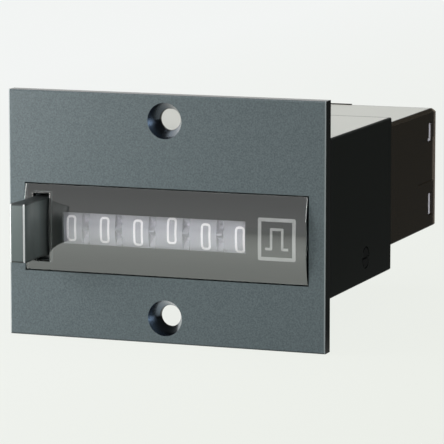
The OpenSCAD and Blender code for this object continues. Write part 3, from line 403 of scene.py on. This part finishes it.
level = add(
    tree, "ShaderNodeMath", {"operation": "SUBTRACT"}, {0: spot.outputs["Z"], 1: key_height / 1000}
)
level = add(tree, "ShaderNodeMath", {"operation": "ABSOLUTE"}, {0: level.outputs[0]})
black_rim, grey_from = 0.15, 0.5
middle = add(
    tree,
    "ShaderNodeMapRange",
    inputs={
        "Value": level.outputs[0],
        "From Min": (key_half - black_rim) / 1000,
        "From Max": (key_half - grey_from) / 1000,
    },
)
sheen_starts, sheen_full = -6.5, -10.5
sheen_toward_front = add(
    tree,
    "ShaderNodeMapRange",
    inputs={"Value": spot.outputs["Y"], "From Min": sheen_starts / 1000, "From Max": sheen_full / 1000},
)
sheen_mask = add(
    tree, "ShaderNodeMath", {"operation": "MULTIPLY"}, {0: middle.outputs[0], 1: sheen_toward_front.outputs[0]}
)
# Painted sheen: slate grey in the middle of the front and sides, black at the top and bottom edges, and
# fading to black towards the plate, which paints shade there.
painted_sheen = add(
    tree,
    "ShaderNodeMix",
    {"data_type": "RGBA"},
    {"Factor": sheen_mask.outputs[0], 6: linear("#1f2424"), 7: linear("#4f5857")},
)
with_bevel_highlight = add(
    tree,
    "ShaderNodeMix",
    {"data_type": "RGBA"},
    {"Factor": bevel_highlight.outputs[0], 6: painted_sheen.outputs[2], 7: linear("#dde1e0")},
)
tree.links.new(with_bevel_highlight.outputs[2], shader.inputs["Base Color"])


def copied(node, finish):
    """A smooth copy of a CAD node that stands in for it, its triangles joined and flat areas merged."""
    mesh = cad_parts[node].data.copy()
    work = bmesh.new()
    work.from_mesh(mesh)
    bmesh.ops.remove_doubles(work, verts=work.verts, dist=2e-6)
    bmesh.ops.dissolve_limit(work, angle_limit=math.radians(0.6), verts=work.verts, edges=work.edges)
    work.to_mesh(mesh)
    work.free()
    mesh.name = node + "_skin"
    mesh.materials.clear()
    mesh.materials.append(finish)
    piece = bpy.data.objects.new(node + "_skin", mesh)
    bpy.context.collection.objects.link(piece)
    mesh.polygons.foreach_set("use_smooth", np.ones(len(mesh.polygons), bool))
    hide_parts(node)
    return piece


key = copied("reset_key", key_abs)
round_over(key, width=0.12)
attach(key, "key")

# Housings: two mouldings, the front one in satin black ABS, the rear one a hood in glossy,
# smoke-brown polycarbonate, so dense that it looks nearly black. Its thin rear rim is painted a
# pale brown grey, a painted highlight of light shining through the rim and catching its edge.

housing_abs, tree, shader = material(
    "satin_black_abs", {"Base Color": linear("#0c120f"), "Roughness": 0.4, "IOR": 1.52}
)
grain(tree, shader, grain_mm=0.4, depth=0.015)
dress(housing_abs, "front_housing")

hood_polycarbonate, tree, shader = material("smoked_polycarbonate", {"Roughness": 0.2, "IOR": 1.58})
grain(tree, shader, grain_mm=1.2, depth=0.004, detail=1.0)
hood_high = corners("rear_housing")[1]
rim_start, rim_end, hood_inside = hood_high[1] - 2.2, hood_high[1] - 0.4, hood_high[0] - 1.1
place = add(tree, "ShaderNodeTexCoord")
spot = add(tree, "ShaderNodeSeparateXYZ", inputs={0: place.outputs["Object"]})
thin = add(
    tree,
    "ShaderNodeMapRange",
    inputs={"Value": spot.outputs["Y"], "From Min": rim_start / 1000, "From Max": rim_end / 1000},
)
off = add(tree, "ShaderNodeMath", {"operation": "ABSOLUTE"}, {0: spot.outputs["X"]})
outer = add(
    tree,
    "ShaderNodeMath",
    {"operation": "GREATER_THAN"},
    {0: off.outputs[0], 1: hood_inside / 1000},
)
# The pale rim is painted light.
rim_light = add(
    tree, "ShaderNodeMath", {"operation": "MULTIPLY"}, {0: thin.outputs[0], 1: outer.outputs[0]}
)
smoke_and_rim_light = add(
    tree,
    "ShaderNodeMix",
    {"data_type": "RGBA"},
    {"Factor": rim_light.outputs[0], 6: linear("#221a0d"), 7: linear("#92887b")},
)
tree.links.new(smoke_and_rim_light.outputs[2], shader.inputs["Base Color"])
dress(hood_polycarbonate, "rear_housing")

# Top plates: sheet steel with a baked light grey enamel, even and softly glossy, let into the
# tops of both housings.

light_enamel, tree, shader = material(
    "baked_light_enamel", {"Base Color": linear("#b9bab3"), "Roughness": 0.38, "IOR": 1.5}
)
grain(tree, shader, grain_mm=0.9, depth=0.003)
dress(light_enamel, "front_top_plate", "rear_top_plate")

# Housing screws: turned steel with a sawn slot, chemically blackened, which leaves a dark satin
# metal. They hold the chassis in the front housing.

blackened_steel, tree, shader = material(
    "blackened_steel", {"Base Color": linear("#3a3d3d"), "Metallic": 1.0, "Roughness": 0.38}
)
dress(blackened_steel, "housing_screws")

# Chassis: side plates, bridge, tie bars, pinion cradle and drive lever in stamped sheet steel,
# zinc plated to a cool bright grey. The side plates' tongues, which show in the latch windows,
# have pale lavender, non-metallic tips: a painted highlight of the glint they catch there.

zinc_plate, tree, shader = material("zinc_plated_steel", {"Roughness": 0.5})
grain(tree, shader, grain_mm=0.8, depth=0.002)
side_plate_face, margin = 34.9, 0.1
place = add(tree, "ShaderNodeTexCoord")
spot = add(tree, "ShaderNodeSeparateXYZ", inputs={0: place.outputs["Object"]})
off = add(tree, "ShaderNodeMath", {"operation": "ABSOLUTE"}, {0: spot.outputs["X"]})
plain = add(
    tree,
    "ShaderNodeMath",
    {"operation": "LESS_THAN"},
    {0: off.outputs[0], 1: (side_plate_face + margin) / 1000},
)
tree.links.new(plain.outputs[0], shader.inputs["Metallic"])
# The tongues' pale tips are a painted highlight.
tongue_highlight = add(
    tree,
    "ShaderNodeMix",
    {"data_type": "RGBA"},
    {"Factor": plain.outputs[0], 6: linear("#f3f2fb"), 7: linear("#c8ccd4")},
)
tree.links.new(tongue_highlight.outputs[2], shader.inputs["Base Color"])
dress(
    zinc_plate,
    "left_side_plate",
    "right_side_plate",
    "rear_bridge",
    "tie_bars",
    "pinion_cradle",
    "drive_lever",
)

# Shafts, rod and hinge pin: free-cutting steel, turned and left bright. The tool's rings are too
# fine to see and only soften the gloss.

turned_steel, tree, shader = material(
    "turned_steel", {"Base Color": linear("#c6c8ca"), "Metallic": 1.0, "Roughness": 0.25}
)
dress(turned_steel, "wheel_shaft", "shaft_collar", "pinion_shaft", "cradle_rod", "armature_pin")

# Bushes and terminal plates: the bushes turned and the plates stamped from rolled brass, which
# has dulled a little in the air.

rolled_brass, tree, shader = material(
    "rolled_brass", {"Base Color": linear("#c8a45a"), "Metallic": 1.0, "Roughness": 0.3}
)
dress(rolled_brass, "shaft_bushes", "terminal_plates")

# Number wheels: moulded in light grey acetal, which is smooth and slightly waxy. The figures
# are hot-stamped in white on the rim, one every tenth of a turn.

wheel_acetal, tree, shader = material("grey_acetal", {"Roughness": 0.42, "IOR": 1.48})
wheel_names = ["units", "tens", "hundreds", "thousands", "ten_thousands", "hundred_thousands"]
dress(wheel_acetal, *[name + "_wheel" for name in wheel_names])

rim_radius, fade_start, tooth_root = 12.75, 0.25, 10.4
wheel_low, wheel_high = corners("units_wheel")
wheel_axis = np.array([wheel_high[1] - rim_radius, (wheel_low[2] + wheel_high[2]) / 2])

# The rim is grey, and the colour is painted lighter with the distance from the wheel's axis, down
# the flanks of the teeth to a near white: painted light that offsets the shade between the teeth.
place = add(tree, "ShaderNodeTexCoord")
spot = add(tree, "ShaderNodeSeparateXYZ", inputs={0: place.outputs["Object"]})
behind = add(
    tree, "ShaderNodeMath", {"operation": "SUBTRACT"}, {0: spot.outputs["Y"], 1: wheel_axis[0] / 1000}
)
above = add(
    tree, "ShaderNodeMath", {"operation": "SUBTRACT"}, {0: spot.outputs["Z"], 1: wheel_axis[1] / 1000}
)
flat = add(tree, "ShaderNodeCombineXYZ", inputs={"X": behind.outputs[0], "Y": above.outputs[0]})
away = add(tree, "ShaderNodeVectorMath", {"operation": "LENGTH"}, {0: flat.outputs[0]})
depth = add(
    tree,
    "ShaderNodeMapRange",
    inputs={
        "Value": away.outputs["Value"],
        "From Min": (rim_radius - fade_start) / 1000,
        "From Max": tooth_root / 1000,
    },
)
recess_lightening = add(
    tree,
    "ShaderNodeMix",
    {"data_type": "RGBA"},
    {"Factor": depth.outputs[0], 6: linear("#a8aab3"), 7: linear("#eeeef6")},
)
tree.links.new(recess_lightening.outputs[2], shader.inputs["Base Color"])

white_foil, tree, shader = material(
    "white_stamping_foil", {"Base Color": linear("#fdfdff"), "Roughness": 0.45, "IOR": 1.5}
)

figure_width, figure_height, stroke_width = 1.95, 5.6, 0.55


def rounded(bends, radius, closed=False):
    """Points along the straight lines between some bends, with each bend rounded.

    A bend is cut back by radius to a and b and turned by a curve of seven points:
    (1 - t)^2 a + 2 t (1 - t) bend + t^2 b.
    """
    c = np.array(bends, float)
    before = np.roll(c, 1, axis=0) - c
    after = np.roll(c, -1, axis=0) - c
    cut_b = np.minimum(radius, np.linalg.norm(before, axis=1) / 2)[:, None]
    cut_a = np.minimum(radius, np.linalg.norm(after, axis=1) / 2)[:, None]
    a = c + before / np.linalg.norm(before, axis=1)[:, None] * cut_b
    b = c + after / np.linalg.norm(after, axis=1)[:, None] * cut_a
    t = np.linspace(0, 1, 7)[None, :, None]
    turns = (1 - t) ** 2 * a[:, None] + 2 * t * (1 - t) * c[:, None] + t**2 * b[:, None]
    if closed:
        path = turns.reshape(-1, 2)
        return np.vstack([path, path[:1]])
    return np.vstack([c[:1], turns[1:-1].reshape(-1, 2), c[-1:]])


def stepped(path, gap):
    """The same line with a point at least every gap along it, each coordinate interpolated.

    A point closer than an eighth of the gap to the one before is left out.
    """
    p = np.asarray(path, float)
    along = np.concatenate([[0], np.cumsum(np.linalg.norm(np.diff(p, axis=0), axis=1))])
    extra = np.arange(0, along[-1], gap)
    stops = np.unique(np.round(np.concatenate([along, extra]), 4))
    keep = np.concatenate([[True], np.diff(stops) > gap / 8])
    stops = stops[keep]
    return np.stack([np.interp(stops, along, p[:, 0]), np.interp(stops, along, p[:, 1])], axis=1)


def stroke(path, width, low, high):
    """A flat stroke along a path: points (u, v, height) on a grid of four a step, and quad faces.

    The path is widened by half the width to each side, along the mean of the normals before and
    after a point, over the cosine of half the turn there, and stands from height low to high.
    """
    p = np.asarray(path, float)
    ring = bool(np.allclose(p[0], p[-1]))
    if ring:
        p = p[:-1]
    step = np.roll(p, -1, axis=0) - p
    if not ring:
        step[-1] = step[-2]
    step /= np.linalg.norm(step, axis=1)[:, None] + 1e-12
    back = np.roll(step, 1, axis=0)
    if not ring:
        back[0] = step[0]
    way = step + back
    way /= np.linalg.norm(way, axis=1)[:, None] + 1e-12
    side = np.stack([-way[:, 1], way[:, 0]], axis=1)
    lean = np.clip((way * step).sum(axis=1), 0.5, 1)[:, None]
    out = side * width / 2 / lean
    n = len(p)
    grid = np.zeros((n, 4, 3))
    grid[:, 0, :2], grid[:, 0, 2] = p - out, low
    grid[:, 1, :2], grid[:, 1, 2] = p - out, high
    grid[:, 2, :2], grid[:, 2, 2] = p + out, high
    grid[:, 3, :2], grid[:, 3, 2] = p + out, low
    i = np.arange(n if ring else n - 1)
    j = (i + 1) % n
    k = np.arange(4)
    m = (k + 1) % 4
    quads = np.stack(
        [
            (i[:, None] * 4 + k).ravel(),
            (i[:, None] * 4 + m).ravel(),
            (j[:, None] * 4 + m).ravel(),
            (j[:, None] * 4 + k).ravel(),
        ],
        axis=1,
    )
    if not ring:
        quads = np.vstack([quads, [[3, 2, 1, 0]], [[4 * n - 4, 4 * n - 3, 4 * n - 2, 4 * n - 1]]])
    return grid.reshape(-1, 3), quads


# Each figure from 0 to 9 is one or two lines, drawn round its middle by their bends and the
# radius that rounds these.
w, h = figure_width / 2, figure_height / 2
figures = [
    [rounded([(-w, -h), (w, -h), (w, h), (-w, h)], 0.75, True)],
    [rounded([(-0.75, h - 1.1), (0.1, h), (0.1, -h)], 0.15)],
    [rounded([(-w, h - 1.2), (-w, h), (w, h), (w, h - 2.4), (-w, -h), (w, -h)], 0.8)],
    [
        rounded([(-w, h - 1), (-w, h), (w, h), (w, 0.2), (-w / 3, 0.2)], 0.8),
        rounded([(-w / 3, 0.2), (w, 0.2), (w, -h), (-w, -h), (-w, -h + 1)], 0.8),
    ],
    [rounded([(w, -1.2), (-w, -1.2), (0.35, h)], 0.05), rounded([(0.45, 0.4), (0.45, -h)], 0.05)],
    [rounded([(w, h), (-w, h), (-w, 0.5), (w, 0.5), (w, -h), (-w, -h), (-w, -h + 0.9)], 0.7)],
    [rounded([(w, h - 0.9), (w, h), (-w, h), (-w, -h), (w, -h), (w, 0.3), (-w, 0.3)], 0.75)],
    [rounded([(-w, h), (w, h), (-w / 3, -h)], 0.1)],
    [
        rounded([(-w, 0.2), (w, 0.2), (w, h), (-w, h)], 0.75, True),
        rounded([(-w, -h), (w, -h), (w, 0.2), (-w, 0.2)], 0.75, True),
    ],
    [rounded([(-w, -h + 0.9), (-w, -h), (w, -h), (w, h), (-w, h), (-w, -0.3), (w, -0.3)], 0.75)],
]

# How far each wheel's stamping stands off the line, as on a real set of wheels.
stamping_lift = [-0.79, -0.5, 0.39, -0.45, -0.25, -0.24]
units_middle, wheel_pitch = 18.5, 8.68
sunk, proud = -0.06, 0.03

for k, name in enumerate(wheel_names):
    centre_x = units_middle - wheel_pitch * k
    printed = []
    for n, lines in enumerate(figures):
        for line in lines:
            flat, quads = stroke(stepped(line, gap=0.35), stroke_width, sunk, proud)
            turn = (flat[:, 1] + stamping_lift[k]) / rim_radius - math.radians(360 / len(figures) * n)
            radius = rim_radius + flat[:, 2]
            points = np.stack(
                [
                    centre_x + flat[:, 0],
                    wheel_axis[0] - radius * np.cos(turn),
                    wheel_axis[1] + radius * np.sin(turn),
                ],
                axis=1,
            )
            printed.append((points, quads))
    piece_of(name + "_figures", printed, white_foil, name)

# Transfer pinions and reset pawls: the pinions are moulded in natural acetal, which is milky and
# faintly warm, and the pawls stamped from spring steel, bright and cool.

natural_acetal, tree, shader = material(
    "natural_acetal",
    {"Base Color": linear("#e3ddc8"), "Roughness": 0.4, "IOR": 1.48, "Subsurface Weight": 0.1},
)
dress(natural_acetal, *[name + "_pinion" for name in wheel_names[1:]])

spring_steel, tree, shader = material(
    "spring_steel", {"Base Color": linear("#b4b8ba"), "Metallic": 1.0, "Roughness": 0.3}
)
dress(spring_steel, *[name + "_pawl" for name in wheel_names])

# Return springs: cold-wound from round spring wire, the armature's hooked at both ends. Both are
# drawn at rest, though the key's is pressed together as the key goes in and the armature's is drawn
# out by the lever.

spring = copied("key_spring", spring_steel)
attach(spring, "frame")
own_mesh(spring)

spring = copied("armature_spring", spring_steel)
hook_low, hook_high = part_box("armature_spring")
middle = (hook_low + hook_high) / 2
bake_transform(spring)

# Pulse mark: a light grey frame printed on the right end of the mask, with the square wave of
# a counted pulse in it.

light_ink, tree, shader = material(
    "light_grey_ink", {"Base Color": linear("#a3a7a5"), "Roughness": 0.5, "IOR": 1.5}
)
left, right, low, high = 23.9, 32.5, -7.9, 1.2
wave_low, wave_high = -5.6, -1.0
wave_start, wave_rise, wave_fall, wave_end = 25.3, 26.8, 29.6, 31.1
frame_width, wave_width, ink_radius = 0.85, 0.6, 0.05
ink_sunk, ink_proud = -0.03, 0.02
mask_front = corners("window_mask")[0][1]
outline = [(left, low), (right, low), (right, high), (left, high)]
wave = [
    (wave_start, wave_low),
    (wave_rise, wave_low),
    (wave_rise, wave_high),
    (wave_fall, wave_high),
    (wave_fall, wave_low),
    (wave_end, wave_low),
]
mark_parts = []
for bends, width, closed in ((outline, frame_width, True), (wave, wave_width, False)):
    flat, quads = stroke(rounded(bends, ink_radius, closed), width, ink_sunk, ink_proud)
    points = np.stack([flat[:, 0], mask_front - flat[:, 2], flat[:, 1]], axis=1)
    mark_parts.append((points, quads))
piece_of("pulse_mark", mark_parts, light_ink, "frame")

# Electromagnet: armature, yoke and core in soft iron with a dull nickel plating, as the terminal
# screws have, a natural nylon bobbin, and a copper winding wrapped in glossy amber polyester tape.

nickel_plate, tree, shader = material(
    "nickel_plated_iron", {"Base Color": linear("#a7a9a6"), "Metallic": 1.0, "Roughness": 0.42}
)
dress(nickel_plate, "armature", "magnet_yoke", "magnet_core", "core_nut", "terminal_screws")

natural_nylon, tree, shader = material(
    "natural_nylon", {"Base Color": linear("#dcd8cc"), "Roughness": 0.45, "IOR": 1.53}
)
dress(natural_nylon, "coil_bobbin")

amber_tape, tree, shader = material(
    "amber_tape", {"Base Color": linear("#7a4a26"), "Roughness": 0.22, "IOR": 1.6}
)
dress(amber_tape, "coil_winding")

bare_copper, tree, shader = material(
    "bare_copper", {"Base Color": linear("#c57b57"), "Metallic": 1.0, "Roughness": 0.28}
)
dress(bare_copper, "coil_leads")

# Terminal block: moulded in black glass-filled polyester, slightly rough from its fibres, with a
# pocket for each of the two terminal screws.

filled_polyester, tree, shader = material(
    "filled_polyester", {"Base Color": linear("#201f1e"), "Roughness": 0.55, "IOR": 1.54}
)
grain(tree, shader, grain_mm=0.3, depth=0.01)
dress(filled_polyester, "terminal_block")

# Studio: a pale paper floor that sweeps up into the backdrop. The camera sees it evenly bright by
# its own glow, and the little light that falls on it leaves the object's faint shadow.

paper = bpy.data.materials.new("pale_paper")
paper.use_nodes = True
tree = paper.node_tree
tree.nodes.clear()
way = add(tree, "ShaderNodeLightPath")
place = add(tree, "ShaderNodeTexCoord")
spot = add(tree, "ShaderNodeSeparateXYZ", inputs={0: place.outputs["Object"]})
seen = add(
    tree,
    "ShaderNodeMath",
    {"operation": "MAXIMUM"},
    {0: way.outputs["Is Camera Ray"], 1: way.outputs["Is Transmission Ray"]},
)
# What mirrors the paper sees a dark flag on the right behind the plate, which keeps the paper out
# of the housings' sides.
behind = add(
    tree,
    "ShaderNodeMapRange",
    inputs={
        "Value": spot.outputs["X"],
        "From Min": 0.0,
        "From Max": 50 / 1000,
        "To Min": 0.9,
        "To Max": 0.03,
    },
)
lit = add(
    tree,
    "ShaderNodeMapRange",
    inputs={"Value": spot.outputs["Y"], "From Min": 0.0, "From Max": -10 / 1000},
)
tree.links.new(behind.outputs[0], lit.inputs["To Min"])
# In front the mirrored paper is a little darker close to the plate, a painted shadow of the object,
# and darkens again further out as painted shade.
close = add(
    tree,
    "ShaderNodeMapRange",
    inputs={
        "Value": spot.outputs["Y"],
        "From Min": -20 / 1000,
        "From Max": -70 / 1000,
        "To Min": 0.85,
        "To Max": 1.1,
    },
)
out = add(
    tree,
    "ShaderNodeMapRange",
    inputs={
        "Value": spot.outputs["Y"],
        "From Min": -80 / 1000,
        "From Max": -350 / 1000,
        "To Min": 1.0,
        "To Max": 0.5,
    },
)
ahead = add(
    tree, "ShaderNodeMath", {"operation": "MULTIPLY"}, {0: close.outputs[0], 1: out.outputs[0]}
)
tree.links.new(ahead.outputs[0], lit.inputs["To Max"])
mirrored = add(
    tree,
    "ShaderNodeMath",
    {"operation": "MULTIPLY"},
    {0: lit.outputs[0], 1: way.outputs["Is Glossy Ray"]},
)
level = add(
    tree, "ShaderNodeMath", {"operation": "MAXIMUM"}, {0: seen.outputs[0], 1: mirrored.outputs[0]}
)
# The paper is nearly white on the left and a little greener and greyer on the right.
shade = add(
    tree,
    "ShaderNodeMapRange",
    inputs={"Value": spot.outputs["X"], "From Min": -300 / 1000, "From Max": 150 / 1000},
)
tone = add(
    tree,
    "ShaderNodeMix",
    {"data_type": "RGBA"},
    {"Factor": shade.outputs[0], 6: linear("#f0f2f1"), 7: linear("#e6e9e2")},
)
glow = add(
    tree,
    "ShaderNodeEmission",
    inputs={"Color": tone.outputs[2], "Strength": level.outputs[0]},
)
matt = add(tree, "ShaderNodeBsdfDiffuse", inputs={"Color": linear("#2e2f2e")})
both = add(tree, "ShaderNodeAddShader", inputs={0: glow.outputs[0], 1: matt.outputs[0]})
add(tree, "ShaderNodeOutputMaterial", inputs={"Surface": both.outputs[0]})

# The sweep runs flat from near to bend, turns up by a quarter circle and rises to its top:
# reach = bend + turn sin a, rise = floor + turn (1 - cos a).
near, bend, turn, top = -2400, 1200, 700, 2600
floor, half_width = -30.2, 3000.0
angle = np.linspace(0, 1, 40) * math.pi / 2
reach = np.concatenate([[near], bend + turn * np.sin(angle), [bend + turn]])
rise = np.concatenate([[0], turn * (1 - np.cos(angle)), [top]]) + floor
across = np.array([-half_width, half_width])
sweep = np.stack(
    [
        np.repeat(across[None], len(reach), 0),
        np.repeat(reach[:, None], 2, 1),
        np.repeat(rise[:, None], 2, 1),
    ],
    axis=2,
).reshape(-1, 3)
i = np.arange(len(reach) - 1)
sweep_faces = np.stack([2 * i, 2 * i + 1, 2 * i + 3, 2 * i + 2], axis=1)
mesh = bpy.data.meshes.new("sweep")
mesh.from_pydata((sweep / 1000).tolist(), [], sweep_faces.tolist())
mesh.materials.append(paper)
mesh.polygons.foreach_set("use_smooth", np.ones(len(mesh.polygons), bool))
backdrop = bpy.data.objects.new("sweep", mesh)
bpy.context.collection.objects.link(backdrop)

# Lamps: a large softbox overhead, which shades the tops from the sides, a small one close on the
# left, whose light falls off along the plate, and one in front that gives the edges a glint.


def softbox(name, place, target, size, power):
    """A square area lamp at place that faces target, both in millimetres."""
    lamp = bpy.data.lights.new(name, "AREA")
    lamp.size = size / 1000
    lamp.energy = power
    holder = bpy.data.objects.new(name, lamp)
    spot = np.array(place) / 1000
    way = np.array(target) / 1000 - spot
    holder.location = spot
    holder.rotation_mode = "QUATERNION"
    holder.rotation_quaternion = Vector(way).to_track_quat("-Z", "Y")
    bpy.context.collection.objects.link(holder)


softbox("top_softbox", place=(-160, 40, 560), target=(0, 20, 0), size=400, power=0.95)
softbox("main_softbox", place=(-170, -110, 36), target=(0, 0, 0), size=130, power=0.46)
softbox("front_softbox", place=(175, -445, 150), target=(0, 0, 0), size=200, power=0.7)

# Light tent: near white all round and a little brighter on the left. What mirrors it sees its
# walls at about half strength, darker upwards, and a dark flag behind the object.

world = bpy.data.worlds.new("studio")
bpy.context.scene.world = world
world.use_nodes = True
tree = world.node_tree
tree.nodes.clear()
way = add(tree, "ShaderNodeLightPath")
place = add(tree, "ShaderNodeTexCoord")
spot = add(tree, "ShaderNodeSeparateXYZ", inputs={0: place.outputs["Generated"]})
aside = add(
    tree,
    "ShaderNodeMapRange",
    inputs={
        "Value": spot.outputs["X"],
        "From Min": -0.7,
        "From Max": 0.7,
        "To Min": 1.1,
        "To Max": 1.05,
    },
)
upward = add(
    tree,
    "ShaderNodeMapRange",
    inputs={
        "Value": spot.outputs["Z"],
        "From Min": -0.1,
        "From Max": 0.3,
        "To Min": 0.5,
        "To Max": 0.4,
    },
)
front = add(
    tree,
    "ShaderNodeMapRange",
    inputs={
        "Value": spot.outputs["Y"],
        "From Min": 0.1,
        "From Max": -0.3,
        "To Min": 0.05,
        "To Max": 1.0,
    },
)
dim = add(
    tree, "ShaderNodeMath", {"operation": "MULTIPLY"}, {0: upward.outputs[0], 1: front.outputs[0]}
)
# A ray that has passed the lens counts as glossy too, so it is taken out again.
glint = add(
    tree,
    "ShaderNodeMath",
    {"operation": "SUBTRACT", "use_clamp": True},
    {0: way.outputs["Is Glossy Ray"], 1: way.outputs["Is Transmission Ray"]},
)
# The lens turns back part of the light, and this makes up for it: a figure behind the lens
# renders about as its colour is written.
clear = add(
    tree,
    "ShaderNodeMapRange",
    inputs={"Value": way.outputs["Is Transmission Ray"], "To Min": 0.9, "To Max": 1.6},
)
mirror = add(tree, "ShaderNodeMapRange", inputs={"Value": glint.outputs[0]})
tree.links.new(clear.outputs[0], mirror.inputs["To Min"])
tree.links.new(dim.outputs[0], mirror.inputs["To Max"])
level = add(
    tree, "ShaderNodeMath", {"operation": "MULTIPLY"}, {0: aside.outputs[0], 1: mirror.outputs[0]}
)
air = add(
    tree,
    "ShaderNodeBackground",
    inputs={"Color": (1, 1, 1, 1), "Strength": level.outputs[0]},
)
add(tree, "ShaderNodeOutputWorld", inputs={"Surface": air.outputs[0]})

# Camera: a long lens, from the right of the object and a little above it, as in the photograph.

eye, aim = np.array([278.9, -714.9, 110.6]), (-0.345, 0.927, -0.144)
camera = bpy.data.cameras.new("camera")
camera.lens = 261.7
camera.sensor_width = 36
camera.clip_end = 20
viewer = bpy.data.objects.new("camera", camera)
viewer.location = eye / 1000
viewer.rotation_mode = "QUATERNION"
viewer.rotation_quaternion = Vector(aim).to_track_quat("-Z", "Y")
bpy.context.collection.objects.link(viewer)
bpy.context.scene.camera = viewer
bpy.context.scene.view_settings.view_transform = "Standard"
